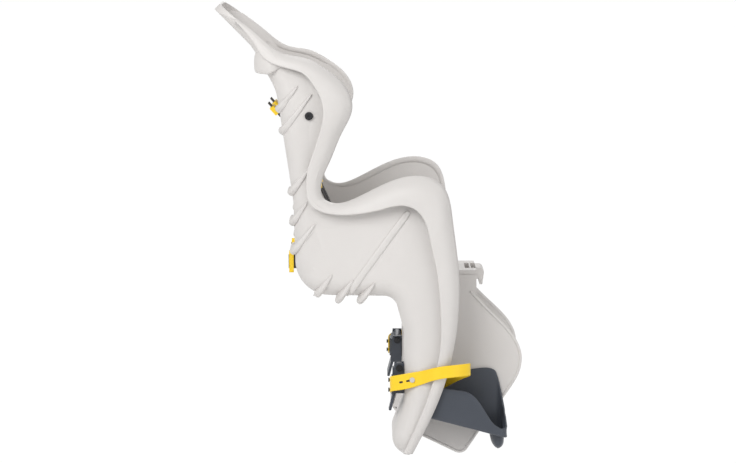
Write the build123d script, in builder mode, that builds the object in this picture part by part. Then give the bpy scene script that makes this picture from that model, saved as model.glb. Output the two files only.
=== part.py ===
"""Rear-mounted child bicycle seat: one moulded shell with leg troughs, sliding footrests and a harness.

Millimetres. X points forwards, Y to the child's left, Z up. The origin is the centre of the four carrier
bolts on the flat underside of the seat pan. The right side is modelled and mirrored for the left.
"""

import os
from math import atan, cos, degrees, radians, sin

from build123d import *

# Shell: wall, corner rounding and side outline of its back, seen from the right
wall = 3.5
round_radius = 30.0
head_slope = (-172.0, 425.0)
nape = (-130.0, 352.0)
lumbar = (-101.0, 160.0)
tail = (-96.0, 0.0)
pan_front = (74.0, 0.0)
calf_x = 91.0
calf_top_z = -62.0
calf_low_z = -178.0
leg_rear_end = (60.0, -258.0)
leg_bottom_slope = 0.34
head_length = 91.0
head_top_half = 36.0
head_corner_radius = 44.0

# Half-width of the shell at width_x, from the legs up to the head
width_x = -50.0
side_flare = 0.08
leg_slope = 0.15
hip_width, hip_z = 121.0, 150.0
wing_width, wing_z = 113.0, 330.0
crown_width, crown_z = 93.0, 455.0
crown_narrowing = 12.0
width_blend = 280.0

# Rolled skirt along the rim: rim point, skirt edge point (x, z) and how far the edge stands out
skirt_wall = 3.0
skirt_bow = 0.14
skirt_root = 0.06
skirt_stations = [
    ((-163.0, 447.0), (-167.0, 438.0), 2.0),
    ((-119.0, 415.0), (-137.0, 404.0), 8.0),
    ((-76.0, 405.5), (-91.0, 391.5), 16.0),
    ((-50.0, 392.0), (-73.0, 381.0), 19.0),
    ((-23.0, 372.0), (-58.0, 361.0), 20.0),
    ((-5.0, 347.0), (-48.0, 340.0), 20.0),
    ((-1.0, 326.0), (-45.0, 320.0), 20.0),
    ((-18.0, 284.0), (-52.0, 281.0), 17.0),
    ((-40.0, 233.0), (-66.0, 238.0), 13.0),
    ((-55.0, 190.0), (-74.0, 195.0), 12.0),
    ((-51.0, 171.0), (-70.0, 168.0), 13.0),
    ((-27.0, 161.0), (-43.0, 151.0), 17.0),
    ((-5.0, 164.5), (-10.0, 149.0), 20.0),
    ((23.0, 177.0), (30.0, 154.0), 22.0),
    ((96.0, 207.0), (88.0, 166.0), 23.0),
    ((125.0, 207.0), (108.0, 160.0), 23.0),
    ((149.0, 197.0), (122.0, 146.0), 22.0),
    ((171.0, 133.0), (137.0, 103.0), 21.0),
    ((181.5, 35.0), (151.0, 33.0), 17.5),
    ((180.5, -20.0), (155.5, -24.0), 15.0),
    ((168.0, -102.0), (151.0, -102.0), 11.0),
    ((147.5, -168.0), (131.5, -169.0), 8.0),
    ((102.0, -261.0), (92.0, -260.0), 5.0),
]
rim_head_end = (-240.0, 520.0)
rim_shoulder = (-102.0, 408.7)
rim_foot_end = (86.0, -297.0)

# Gill fins round the back and the edge of the pan: upper end and lower end (x, z), and their width
fin_width = 9.0
fin_back_rise = 8.0
fin_side_rise = 2.5
fin_inner_y = 70.0
pan_fin_clearance = 1.0
back_fins = [
    ((-94.0, 360.0), (-140.0, 303.0)),
    ((-67.0, 347.0), (-140.0, 258.0)),
    ((-71.0, 223.0), (-125.0, 142.0)),
    ((-80.0, 162.0), (-120.0, 96.0)),
    ((-63.0, 116.0), (-118.0, 42.0)),
]
pan_fins = [
    ((-34.0, 40.0), (-64.0, -2.0)),
    ((2.0, 32.0), (-28.0, -12.0)),
    ((38.0, 26.0), (10.0, -12.0)),
]
side_crease = ((96.0, 147.0), (-6.0, 8.0))
crease_width = 7.0

# Wheel gap, guard panels and the front hook block between the legs
gap_half = 50.0
gap_setback = 18.0
panel_front = [(208.0, 2.0), (243.0, -35.0), (282.0, -77.0), (296.0, -112.0), (290.0, -144.0),
               (275.0, -169.0)]
panel_toe = (222.0, -243.0)
panel_bottom = (194.0, -284.0)
panel_heel = (120.0, -249.0)
panel_bottom_radius = 14.0
bridge_start = (44.0, 0.0)
pommel_rear_x = 188.0
pommel_front_x = 219.0
pommel_top_z = 31.0
pommel_block = 16.0
hook_reach = 16.0
hook_drop = 30.0
hook_half = 22.0
hook_gap = 5.0
hook_draft = 4.0
hook_lead = 2.0
hook_root = 20.0
hook_round = 8.0
recess_length = 19.0
recess_half = 24.0
recess_depth = 9.0
recess_rib = 3.0

# Carrier bolts through the pan
bolt_hole_radius = 3.25
bolt_spacing_x = 60.0
bolt_spacing_y = 80.0

# Side screws at the head wings, with their barrel nuts
screw_place = (-72.5, 311.0)
screw_radius = 3.0
screw_head_radius = 7.0
screw_head_height = 4.5
screw_socket = 5.0
screw_head_round = 1.2
barrel_radius = 4.5
barrel_flange_radius = 8.0
barrel_flange = 2.5
fit = 0.05

# Webbing harness: slots, straps and the fittings on them
web_width = 25.0
web_thickness = 2.0
web_clearance = 0.4
slot_clearance = 1.5
harness_tilt = 23.8
buckle_place = (-4.0, 0.0, 58.0)
shoulder_slot_y = 40.0
shoulder_slot_z = 300.0
shoulder_slot_height = 13.0
shoulder_tail = [(-145.0, 327.0), (-137.0, 318.0), (-129.0, 309.0), (-120.5, 300.0), (-109.5, 291.0)]
shoulder_run = 20.0
lap_slot_y = 62.0
lap_slot_z = 50.0
lap_slot_width = 9.0
lap_line = [(-111.0, -62.0, 50.0), (-101.0, -62.0, 50.0), (-94.0, -62.0, 50.0), (-85.0, -63.0, 51.0),
            (-66.0, -62.0, 57.0), (-46.0, -54.0, 70.0), (-32.0, -44.0, 84.0)]
crotch_slot_x = 104.0
crotch_slot_length = 9.0
crotch_line = [(38.0, 21.0), (64.0, 18.5), (84.0, 20.5), (98.0, 20.5), (103.6, 15.5), (104.0, 9.0),
               (104.0, 3.0), (104.0, -4.0)]
slide_length = 16.0
slide_bar = 3.0
slide_side = 7.0
upper_slide_place = 0.6
retainer_height = 7.0
retainer_side = 5.0
adjuster_place = 0.53
adjuster_length = 30.0
adjuster_side = 4.5
adjuster_bar = 2.2
adjuster_window = 12.0
roller_radius = 3.0
roller_pin = 1.8
roller_gap = 0.3

# Harness buckle, in its own frame: X across, Y up along the straps, Z towards the front
buckle_width = 66.0
buckle_height = 56.0
buckle_half_depth = 9.0
buckle_wall = 2.5
buckle_corner = 14.0
button_size = 20.0
button_y = -5.0
button_rise = 1.5
button_rim = 1.5
button_travel = 2.5
button_clearance = 0.3
tongue_x = 15.5
tongue_thickness = 3.0
tongue_blade = 15.0
tongue_depth = 18.0
tongue_head_width = 29.4
tongue_head_height = 31.0
tongue_head_half = 5.0
tongue_layer = 2.4
tongue_pocket = 14.0
tongue_gap = 0.3

# Footrest and the clip behind the leg, in the leaning frame of the leg
foot_travel = 45.0
tray_wall = 3.5
tray_clearance = 4.0
heel_x = calf_x + wall + 2.0
toe_x = 268.0
sole_heel_z = -197.0
sole_slope = 0.258
sole_thickness = 5.0
heel_top_z = -140.0
outer_side = [(152.0, -163.0), (204.0, -169.0), (217.0, -181.0), (229.0, -200.0), (240.0, -226.0)]
inner_side = [(160.0, -149.0), (204.0, -135.0), (242.0, -131.0), (260.0, -138.0), (268.0, -156.0)]
toe_tongue_half = 22.0
toe_tongue_drop = 28.0
toe_tongue_root = 34.0
toe_tongue_bend = 30.0
toe_tongue_heel = 19.0
toe_tongue_tip = 9.0
sole_rib_pitch = 9.0
sole_rib = 3.0
sole_rib_rise = 1.6
toe_corner = 16.0
neck_half = 6.0
neck_top_z = -148.0
neck_height = 18.0
neck_clearance = 0.6
neck_rear_x = 82.0
merge = 1.0

clip_gap = 0.6
clip_depth = 10.5
clip_half = 20.0
cheek = 4.0
ear_step = 12.0
clip_low_z = -171.0
pin_place = (82.0, -127.0)
pin_radius = 4.0
pin_head_radius = 6.0
pin_head = 2.5
pin_recess = 4.0
knuckle_radius = 8.0
lever_gap = 0.4
lug_x = 68.5
lug_thickness = 3.5
lug_reach = 12.0
lug_low_z = -172.0
lug_height = 34.0
peg_heights = (-164.0, -147.0)
peg_radius = 2.2
peg_length = 3.4
peg_head_radius = 3.6
peg_head = 2.2
lever_thickness = 4.8
lever_front_x = 75.2
lever_tip = (63.5, -201.0)
lever_bend_z = -173.0
lever_shoulder = 11.2
tooth_z = -143.0
tooth_height = 4.0
tooth_gap = 0.3
tooth_lead = 1.0
rack_pitch = 9.0
rack_depth = 1.3
rack_play = 0.8
clip_screw_radius = 2.0
clip_screw_head = 4.0
clip_screw_head_height = 2.5
clip_screw_cross = 5.2
clip_screw_length = 10.0

# Foot strap in the leaning frame of the leg: its widths, and its line as (x, y from the clip's or the leg's
# outer side, z), then over the foot as (x, share of the way from the leg's middle to its side, z), then in
# the tray as (x, distance from its inner wall, z)
strap_thickness = 2.4
strap_rear_width = 26.0
strap_width = 21.0
strap_at_clip = [(67.0, 1.2, -157.0), (67.0, -6.0, -155.5), (67.0, -13.5, -154.0)]
strap_at_leg = [(70.0, 10.3, -152.0), (79.0, 4.3, -150.0), (91.0, 0.0, -147.5), (104.0, -2.5, -144.5)]
strap_at_lip = [
    (121.0, -5.2, -140.0), (138.0, -15.2, -134.0), (156.0, -19.7, -130.0), (176.0, -17.7, -128.0),
    (192.0, -10.2, -127.0), (201.5, 1.8, -127.0), (202.0, 13.8, -129.0),
]
strap_over_foot = [(192.0, -0.463, -134.0), (172.0, -0.058, -146.0), (154.0, 0.367, -159.0)]
strap_in_tray = [(142.0, 7.8, -168.0), (131.0, 3.4, -173.0), (119.0, 2.6, -175.0)]
rivet_radius = 2.0
rivet_head_radius = 4.5
rivet_head = 2.0

leg_angle = degrees(atan(leg_slope))
leg_span = hip_width + leg_slope * hip_z + side_flare * (calf_x - width_x) - gap_half
leg_half = leg_span / 2 * cos(radians(leg_angle))
leg_centre = gap_half + leg_span / 2
leg_frame = Plane(
    origin=(0, -leg_centre, 0),
    x_dir=(1, 0, 0),
    z_dir=(0, sin(radians(leg_angle)), cos(radians(leg_angle))),
)
leg_side = Plane(origin=leg_frame.origin, x_dir=leg_frame.x_dir, z_dir=-leg_frame.y_dir)
harness = Plane(
    origin=buckle_place,
    x_dir=(0, 1, 0),
    z_dir=(cos(radians(harness_tilt)), 0, sin(radians(harness_tilt))),
)
far = 420.0
spine = [
    (head_slope[0] - far, head_slope[1] + far),
    head_slope,
    nape,
    lumbar,
    tail,
    pan_front,
    (calf_x, calf_top_z),
    (calf_x, calf_low_z),
    leg_rear_end,
    (far, leg_rear_end[1] - leg_bottom_slope * (far - leg_rear_end[0])),
]
spine_radii = [70.0, 90.0, 260.0, 60.0, 22.0, 70.0, 40.0, round_radius + 2]
rim = [rim_head_end] + [station[0] for station in skirt_stations] + [rim_foot_end]
rim.insert(3, rim_shoulder)
widths = [
    (-far, hip_width + leg_slope * (hip_z + far)),
    (hip_z, hip_width),
    (wing_z, wing_width),
    (crown_z, crown_width),
    (far + crown_z, crown_width - crown_narrowing),
]


def half_width(x, z):
    """Distance of the shell's outer side wall from the middle, straight between the given heights."""
    for (low_z, low), (high_z, high) in zip(widths, widths[1:]):
        if low_z <= z <= high_z:
            width = low + (high - low) * (z - low_z) / (high_z - low_z)
    return width + side_flare * (x - width_x)


def save(piece, name):
    """Label one finished piece and write it."""
    piece.part.label = name
    export_step(piece.part, f"parts/{name}.step")


def save_pair(piece, name):
    """Write a right-hand piece and its mirror image."""
    save(piece, f"{name}_right")
    with BuildPart() as left:
        mirror(piece.part, about=Plane.XZ)
    save(left, f"{name}_left")


def tub(inset):
    """Right half of the solid that the shell wraps, its surface set in from the outside of the shell."""
    with BuildPart() as body:
        with BuildSketch(Plane.XZ):
            with BuildLine():
                outline = FilletPolyline(*spine, radius=spine_radii)
                Polyline(spine[-1], (far, spine[0][1]), spine[0])
            make_face()
            if inset:
                offset(amount=-inset, kind=Kind.INTERSECTION)
        extrude(amount=far)
        with BuildSketch(Plane.YZ.offset(-far)):
            narrowing = side_flare * (-far - width_x) - inset
            edge = [(-(width + narrowing), z) for z, width in widths]
            with BuildLine():
                FilletPolyline(*edge, radius=width_blend)
                Polyline(edge[-1], (far, edge[-1][1]), (far, edge[0][1]), edge[0])
            make_face()
        extrude(amount=2 * far, dir=(1, -side_flare, 0), mode=Mode.INTERSECT)
        back_edges = body.edges().filter_by(
            lambda edge: abs((edge @ 0.5).Y) > 1
            and abs((edge % 0.5).Y) < 0.7
            and (edge @ 0.5).X < far - round_radius
            and abs(outline.distance_to(Vertex((edge @ 0.5).X, (edge @ 0.5).Z, 0)) - abs(inset)) < 0.5
        )
        fillet(back_edges, radius=round_radius - inset)
        slope = Plane(origin=(head_slope[0], 0, head_slope[1]), x_dir=(0, 1, 0), z_dir=(1, 0, 1))
        with BuildSketch(slope):
            with BuildLine():
                top = (-head_top_half, head_length - inset)
                side = (-head_top_half - head_corner_radius + inset, head_length - head_corner_radius)
                RadiusArc(top, side, inset - head_corner_radius)
                Polyline(side, (-far, -2 * far), (far, -2 * far), (far, top[1]), top)
            make_face()
        extrude(amount=2 * far, both=True, mode=Mode.INTERSECT)
    return body


def skirt_section(index):
    """Bowed strip across the skirt at one station: its top just behind the rim, its edge standing out."""
    (rim_x, rim_z), (edge_x, edge_z), flare = skirt_stations[index]
    before = skirt_stations[max(index - 1, 0)][0]
    after = skirt_stations[min(index + 1, len(skirt_stations) - 1)][0]
    top = Vector(rim_x, wall / 2 - half_width(rim_x, rim_z), rim_z)
    edge = Vector(edge_x, -half_width(edge_x, edge_z) - flare, edge_z)
    top = top + (edge - top) * skirt_root
    along = Vector(after[0] - before[0], half_width(*before) - half_width(*after), after[1] - before[1])
    inward = along.cross(edge - top).normalized()
    if inward.Y < 0:
        inward = inward * -1
    middle = (top + edge) * 0.5 - inward * skirt_bow * (edge - top).length
    strip = [top, middle, edge]
    return strip + [point + inward * skirt_wall for point in reversed(strip)]


def ribbon(stations, thickness):
    """Flat band lofted through upright rectangles, each given as (point, width direction, width)."""
    points = [Vector(*station[0]) for station in stations]
    with BuildPart() as band:
        for index, (_, across, width) in enumerate(stations):
            along = points[min(index + 1, len(points) - 1)] - points[max(index - 1, 0)]
            with BuildSketch(Plane(origin=points[index], x_dir=across, z_dir=along)):
                Rectangle(width, thickness)
        loft(ruled=True)
    return band


def fin_band(lines, inner_y):
    """Right-hand fins on the given side lines, wrapped round the tub and ending inner_y from the middle."""
    with BuildPart() as band:
        add(tub(-fin_side_rise).part.moved(Location((-fin_back_rise, 0, -fin_back_rise / 2))))
        with BuildSketch(Plane.XZ):
            for high, low in lines:
                lean = Vector(low[0] - high[0], low[1] - high[1])
                across = Vector(-lean.Y, lean.X).normalized() * fin_width / 2
                with BuildLine():
                    Polyline(high, (low[0] + across.X, low[1] + across.Y),
                             (low[0] - across.X, low[1] - across.Y), close=True)
                make_face()
        extrude(amount=far, mode=Mode.INTERSECT)
        split(bisect_by=Plane.XZ.offset(inner_y), keep=Keep.TOP)
    return band


def leg_prism(outline, low_y, high_y):
    """Side outline (x, z) in the right leg's leaning frame, as thick as from low_y to high_y there."""
    with BuildPart() as prism:
        with BuildSketch(leg_side.offset(-high_y)):
            with BuildLine():
                Polyline(*outline, close=True)
            make_face()
        extrude(amount=high_y - low_y)
    return prism


os.makedirs("parts", exist_ok=True)

# Seat shell: one moulding, made as a right half and mirrored
with BuildPart() as skirt:
    for index in range(len(skirt_stations)):
        corners = skirt_section(index)
        with BuildSketch(Plane(origin=corners[0], x_dir=corners[2] - corners[0],
                               z_dir=(corners[2] - corners[0]).cross(corners[-1] - corners[0]))) as section:
            with BuildLine():
                Polyline(*[section.workplanes[0].to_local_coords(corner) for corner in corners], close=True)
            make_face()
    loft(ruled=True)

with BuildPart() as cavity:
    add(tub(wall).part)

with BuildPart() as crease_band:
    add(tub(-fin_side_rise).part)
    with BuildSketch(Plane.XZ):
        with BuildLine():
            crease_line = Line(*side_crease)
        with Locations(crease_line @ 0.5):
            SlotCenterToCenter(crease_line.length, crease_width,
                               rotation=degrees(atan((crease_line % 0).Y / (crease_line % 0).X)))
    extrude(amount=far, mode=Mode.INTERSECT)

gap_edge = [(-(gap_half - leg_slope * z + wall / 2), z) for z in (far / 4, -far)]
bridge_rise = (pommel_top_z - bridge_start[1]) / (pommel_rear_x - bridge_start[0])
panel_rear = [(calf_x + merge, calf_low_z), (calf_x + merge, calf_top_z), (pan_front[0] + merge, -merge)]
panel_rear += [bridge_start]
pan_fin_y = half_width(*pan_front) - round_radius + pan_fin_clearance

with BuildPart() as guard:
    with BuildSketch(leg_side.offset(-leg_half)):
        with BuildLine():
            Spline(*panel_front, panel_toe)
            FilletPolyline(panel_toe, panel_bottom, panel_heel, radius=panel_bottom_radius)
            Polyline(panel_heel, (leg_rear_end[0] + 4 * wall, leg_rear_end[1] + 3 * wall), *panel_rear,
                     (pommel_rear_x, pommel_top_z), (pommel_front_x, pommel_top_z), (pommel_front_x, 0),
                     panel_front[0])
        make_face()
    extrude(amount=wall)

with BuildPart() as bridge:
    with BuildSketch(Plane.XZ):
        with BuildLine():
            Polyline(bridge_start, (pommel_rear_x, pommel_top_z), (pommel_front_x, pommel_top_z),
                     (pommel_front_x, 0), (pommel_front_x - wall, 0),
                     (pommel_front_x - wall, pommel_top_z - pommel_block),
                     (pommel_rear_x, pommel_top_z - pommel_block), (pommel_rear_x, pommel_top_z - wall),
                     (bridge_start[0] + wall / bridge_rise, bridge_start[1]), close=True)
        make_face()
    extrude(amount=gap_half - leg_slope * pommel_top_z + wall / 2)
    hook_top = (pommel_front_x - wall, pommel_top_z)
    hook_tip = (pommel_front_x + hook_reach - hook_draft, pommel_top_z - hook_drop)
    with BuildSketch(Plane.XZ):
        with BuildLine():
            FilletPolyline(hook_top, (pommel_front_x + hook_reach, pommel_top_z), hook_tip, radius=hook_round)
            Polyline(hook_tip, (pommel_front_x + hook_gap + hook_lead, hook_tip[1]),
                     (pommel_front_x + hook_gap, pommel_top_z - hook_root),
                     (hook_top[0], pommel_top_z - hook_root), hook_top)
        make_face()
    extrude(amount=hook_half)
    recess = Plane.XY.offset(pommel_top_z)
    with BuildSketch(recess):
        with Locations((pommel_front_x - recess_length / 2, 0)):
            Rectangle(recess_length, 2 * recess_half)
            Rectangle(recess_rib, 2 * recess_half, mode=Mode.SUBTRACT)
    extrude(amount=-recess_depth, mode=Mode.SUBTRACT)

with BuildPart() as half_shell:
    add(tub(0).part)
    add(cavity.part, mode=Mode.SUBTRACT)
    with BuildSketch(Plane.XZ):
        with BuildLine():
            Spline(*rim)
            Polyline(rim[-1], (-far, -far), (-far, rim[0][1]), rim[0])
        make_face()
    extrude(amount=far, mode=Mode.INTERSECT)
    add(skirt.part)
    with BuildSketch(Plane.YZ.offset(pan_front[0] - gap_setback)):
        with BuildLine():
            Polyline((0, gap_edge[0][1]), gap_edge[0], gap_edge[1], (0, gap_edge[1][1]), close=True)
        make_face()
    extrude(amount=far, mode=Mode.SUBTRACT)
    add(fin_band(back_fins, fin_inner_y).part.cut(cavity.part))
    add(fin_band(pan_fins, pan_fin_y).part.cut(cavity.part))
    add(crease_band.part.cut(cavity.part))
    add(guard.part)
    add(bridge.part)

screw_width = half_width(*screw_place)
screw_frame = Plane(
    origin=(screw_place[0], -screw_width, screw_place[1]),
    x_dir=(1, -side_flare, 0),
    z_dir=(-side_flare, -1, (hip_width - wing_width) / (wing_z - hip_z)),
)
slot_length = web_width + 2 * slot_clearance
neck_low_z = neck_top_z - neck_height
neck_slot = neck_height + foot_travel + 2 * neck_clearance
rack_teeth = int(foot_travel / rack_pitch) + 1
crotch_slot_z = bridge_start[1] + bridge_rise * (crotch_slot_x - bridge_start[0])

with BuildPart() as shell_right:
    add(half_shell.part)
    with BuildSketch(Plane.YZ.offset(tail[0] - 3 * wall)):
        with Locations((-shoulder_slot_y, shoulder_slot_z)):
            RectangleRounded(slot_length, shoulder_slot_height, shoulder_slot_height / 3)
    extrude(amount=-far / 8, both=True, mode=Mode.SUBTRACT)
    with BuildSketch(Plane.YZ.offset(tail[0])):
        with Locations((-lap_slot_y, lap_slot_z)):
            RectangleRounded(lap_slot_width, slot_length, lap_slot_width / 3)
    extrude(amount=4 * wall, both=True, mode=Mode.SUBTRACT)
    with BuildSketch(Plane.XY.offset(crotch_slot_z)):
        with Locations((crotch_slot_x, 0)):
            Rectangle(crotch_slot_length, slot_length)
    extrude(amount=4 * wall, both=True, mode=Mode.SUBTRACT)
    with BuildSketch(Plane.XY):
        with GridLocations(bolt_spacing_x, bolt_spacing_y, 2, 2):
            Circle(bolt_hole_radius)
    extrude(amount=2 * wall, both=True, mode=Mode.SUBTRACT)
    with BuildSketch(screw_frame):
        Circle(barrel_radius + fit)
    extrude(amount=-2 * wall, both=True, mode=Mode.SUBTRACT)
    with BuildSketch(leg_frame.offset(neck_low_z - neck_clearance)):
        with Locations((calf_x + wall / 2, 0)):
            Rectangle(4 * wall, 2 * (neck_half + neck_clearance))
    extrude(amount=neck_slot, mode=Mode.SUBTRACT)
    for tooth in range(rack_teeth):
        with BuildSketch(leg_frame.offset(tooth_z - tooth_height / 2 - rack_play + tooth * rack_pitch)):
            with Locations((calf_x, 0)):
                Rectangle(2 * rack_depth, 2 * (clip_half - cheek))
                Rectangle(2 * rack_depth, 2 * (neck_half + 2 * neck_clearance), mode=Mode.SUBTRACT)
        extrude(amount=tooth_height + 2 * rack_play, mode=Mode.SUBTRACT)

with BuildPart() as seat_shell:
    add(shell_right.part)
    mirror(about=Plane.XZ)
save(seat_shell, "seat_shell")

# Side screw and its barrel nut: the barrel fills the hole in the wing, the screw runs into it
with BuildPart() as side_screw:
    with BuildSketch(screw_frame):
        Circle(screw_head_radius)
    extrude(amount=screw_head_height)
    fillet(side_screw.faces().sort_by(Axis.Y)[0].edges(), radius=screw_head_round)
    with BuildSketch(screw_frame.offset(screw_head_height)):
        RegularPolygon(screw_socket / 2, 6, major_radius=False)
    extrude(amount=-screw_head_height / 2, mode=Mode.SUBTRACT)
    with BuildSketch(screw_frame):
        Circle(screw_radius)
    extrude(amount=-(wall + barrel_flange / 2))
save_pair(side_screw, "side_screw")

with BuildPart() as barrel_nut:
    with BuildSketch(screw_frame):
        Circle(barrel_radius)
    extrude(amount=-(wall + fit))
    with BuildSketch(screw_frame.offset(-(wall + fit))):
        Circle(barrel_flange_radius)
    extrude(amount=-barrel_flange)
    with BuildSketch(screw_frame):
        Circle(screw_radius + fit)
    extrude(amount=-(wall + barrel_flange / 2 + fit), mode=Mode.SUBTRACT)
save_pair(barrel_nut, "barrel_nut")

# Footrest: a tray in the leg trough, low outside and high inside, with a neck through the leg's slot
tray_half = leg_half - wall - tray_clearance


def sole_z(x, depth=0.0):
    """Height of the sloping sole, or of a face that lies depth below it."""
    return sole_heel_z - sole_slope * (x - heel_x) - depth


tray_front_x = toe_x + merge
tray_rear_x = heel_x - merge
tray_foot = [(x, sole_z(x, sole_thickness)) for x in (tray_front_x, tray_rear_x)]
outer_outline = [(tray_rear_x, heel_top_z), *outer_side, (tray_front_x, sole_z(tray_front_x)), *tray_foot]
inner_outline = [(tray_rear_x, heel_top_z), *inner_side, (tray_front_x, inner_side[-1][1]), *tray_foot]

with BuildPart() as tray_room:
    with BuildSketch(leg_frame.offset(sole_heel_z - far / 4)) as plan:
        with Locations(((heel_x + toe_x) / 2, 0)):
            Rectangle(toe_x - heel_x - 2 * tray_wall, 2 * (tray_half - tray_wall))
        fillet(plan.vertices().group_by(Axis.X)[0], radius=round_radius - wall - tray_wall)
        fillet(plan.vertices().group_by(Axis.X)[-1], radius=toe_corner - tray_wall)
    extrude(amount=far / 2)
    above = [(heel_x, sole_z(heel_x)), (toe_x, sole_z(toe_x)), (toe_x, 0), (heel_x, 0)]
    add(leg_prism(above, -tray_half, tray_half).part, mode=Mode.INTERSECT)

with BuildPart() as footrest:
    with BuildSketch(leg_frame.offset(sole_heel_z - far / 4)) as plan:
        with Locations(((heel_x + toe_x) / 2, 0)):
            Rectangle(toe_x - heel_x, 2 * tray_half)
        fillet(plan.vertices().group_by(Axis.X)[0], radius=round_radius - wall)
        fillet(plan.vertices().group_by(Axis.X)[-1], radius=toe_corner)
    extrude(amount=far / 2)
    outer_half = leg_prism(outer_outline, -tray_half - merge, 0).part
    add(outer_half + leg_prism(inner_outline, 0, tray_half + merge).part, mode=Mode.INTERSECT)
    add(tray_room.part, mode=Mode.SUBTRACT)
    root_x = toe_x - toe_tongue_root
    bend_x = toe_x - toe_tongue_bend
    drop_z = sole_z(toe_x, toe_tongue_drop)
    tongue = [(root_x, sole_z(root_x, sole_thickness / 2)), (bend_x, sole_z(bend_x, 2 * sole_thickness)),
              (toe_x - toe_tongue_heel, drop_z), (toe_x - toe_tongue_tip, drop_z),
              (toe_x - merge, sole_z(toe_x, sole_thickness)),
              (toe_x - merge, sole_z(toe_x, sole_thickness / 2))]
    add(leg_prism(tongue, -toe_tongue_half, toe_tongue_half).part)
    for rib in range(int((toe_x - heel_x - 4 * toe_corner) / sole_rib_pitch)):
        rib_x = heel_x + round_radius + rib * sole_rib_pitch
        bar = [(rib_x, sole_z(rib_x, merge)), (rib_x + sole_rib, sole_z(rib_x + sole_rib, merge)),
               (rib_x + sole_rib, sole_z(rib_x + sole_rib, -sole_rib_rise)),
               (rib_x, sole_z(rib_x, -sole_rib_rise))]
        add(leg_prism(bar, -tray_half + 2 * tray_wall, tray_half - 2 * tray_wall).part)
    with BuildSketch(leg_frame.offset(neck_low_z)):
        with Locations(((neck_rear_x + heel_x + merge) / 2, 0)):
            Rectangle(heel_x + merge - neck_rear_x, 2 * neck_half)
    extrude(amount=neck_height)
    clip_screw_frame = Plane(
        origin=leg_frame.from_local_coords((neck_rear_x, 0, neck_low_z + neck_height / 2)),
        x_dir=leg_frame.y_dir,
        z_dir=(-1, 0, 0),
    )
    with BuildSketch(clip_screw_frame):
        Circle(clip_screw_radius + fit)
    extrude(amount=-clip_screw_length, mode=Mode.SUBTRACT)
save_pair(footrest, "footrest")

# Clip bracket behind the leg: a plate that takes the neck, two cheeks for the lever pin, a lug for the strap
clip_front_x = calf_x - clip_gap
clip_top_z = pin_place[1] - knuckle_radius - lever_gap
with BuildPart() as clip_bracket:
    with BuildSketch(leg_frame.offset(clip_low_z)):
        with Locations((clip_front_x - clip_depth / 2, 0)):
            Rectangle(clip_depth, 2 * clip_half)
    extrude(amount=clip_top_z - clip_low_z)
    with BuildSketch(leg_frame.offset(tooth_z - 2 * tooth_height)):
        with Locations((clip_front_x - clip_depth / 2, 0)):
            Rectangle(2 * clip_depth, 2 * (clip_half - cheek))
    extrude(amount=far / 4, mode=Mode.SUBTRACT)
    ear_top_z = pin_place[1] + knuckle_radius
    ear = [(lug_x + lug_thickness, clip_low_z), (clip_front_x, clip_low_z), (clip_front_x, ear_top_z),
           (pin_place[0] - knuckle_radius, ear_top_z), (lug_x + lug_thickness, pin_place[1] - ear_step)]
    for low_y in (-clip_half, clip_half - cheek):
        add(leg_prism(ear, low_y, low_y + cheek).part)
    with BuildSketch(leg_frame.offset(lug_low_z)):
        with Locations((lug_x + lug_thickness / 2, -clip_half - lug_reach / 2 + cheek / 2)):
            Rectangle(lug_thickness, lug_reach + cheek)
    extrude(amount=lug_height)
    with BuildSketch(leg_frame.offset(neck_low_z - fit)):
        with Locations(((neck_rear_x - fit + far / 4) / 2 + calf_x / 2, 0)):
            Rectangle(far / 4 + calf_x - neck_rear_x + fit, 2 * (neck_half + fit))
    extrude(amount=neck_height + 2 * fit, mode=Mode.SUBTRACT)
    with BuildSketch(clip_screw_frame.offset(-clip_depth)):
        Circle(clip_screw_radius + 4 * fit)
    extrude(amount=2 * clip_depth, mode=Mode.SUBTRACT)
    pin_plane = leg_side.offset(-far / 4)
    with BuildSketch(pin_plane):
        with Locations(pin_place):
            Circle(pin_radius + fit)
    extrude(amount=far / 2, mode=Mode.SUBTRACT)
    for peg_z in peg_heights:
        peg_frame = Plane(
            origin=leg_frame.from_local_coords((lug_x, -clip_half - lug_reach / 2, peg_z)),
            x_dir=leg_frame.y_dir,
            z_dir=(-1, 0, 0),
        )
        with BuildSketch(peg_frame):
            Circle(peg_radius)
        extrude(amount=peg_length)
        with BuildSketch(peg_frame.offset(peg_length)):
            Circle(peg_head_radius)
        extrude(amount=peg_head)
save_pair(clip_bracket, "clip_bracket")

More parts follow.
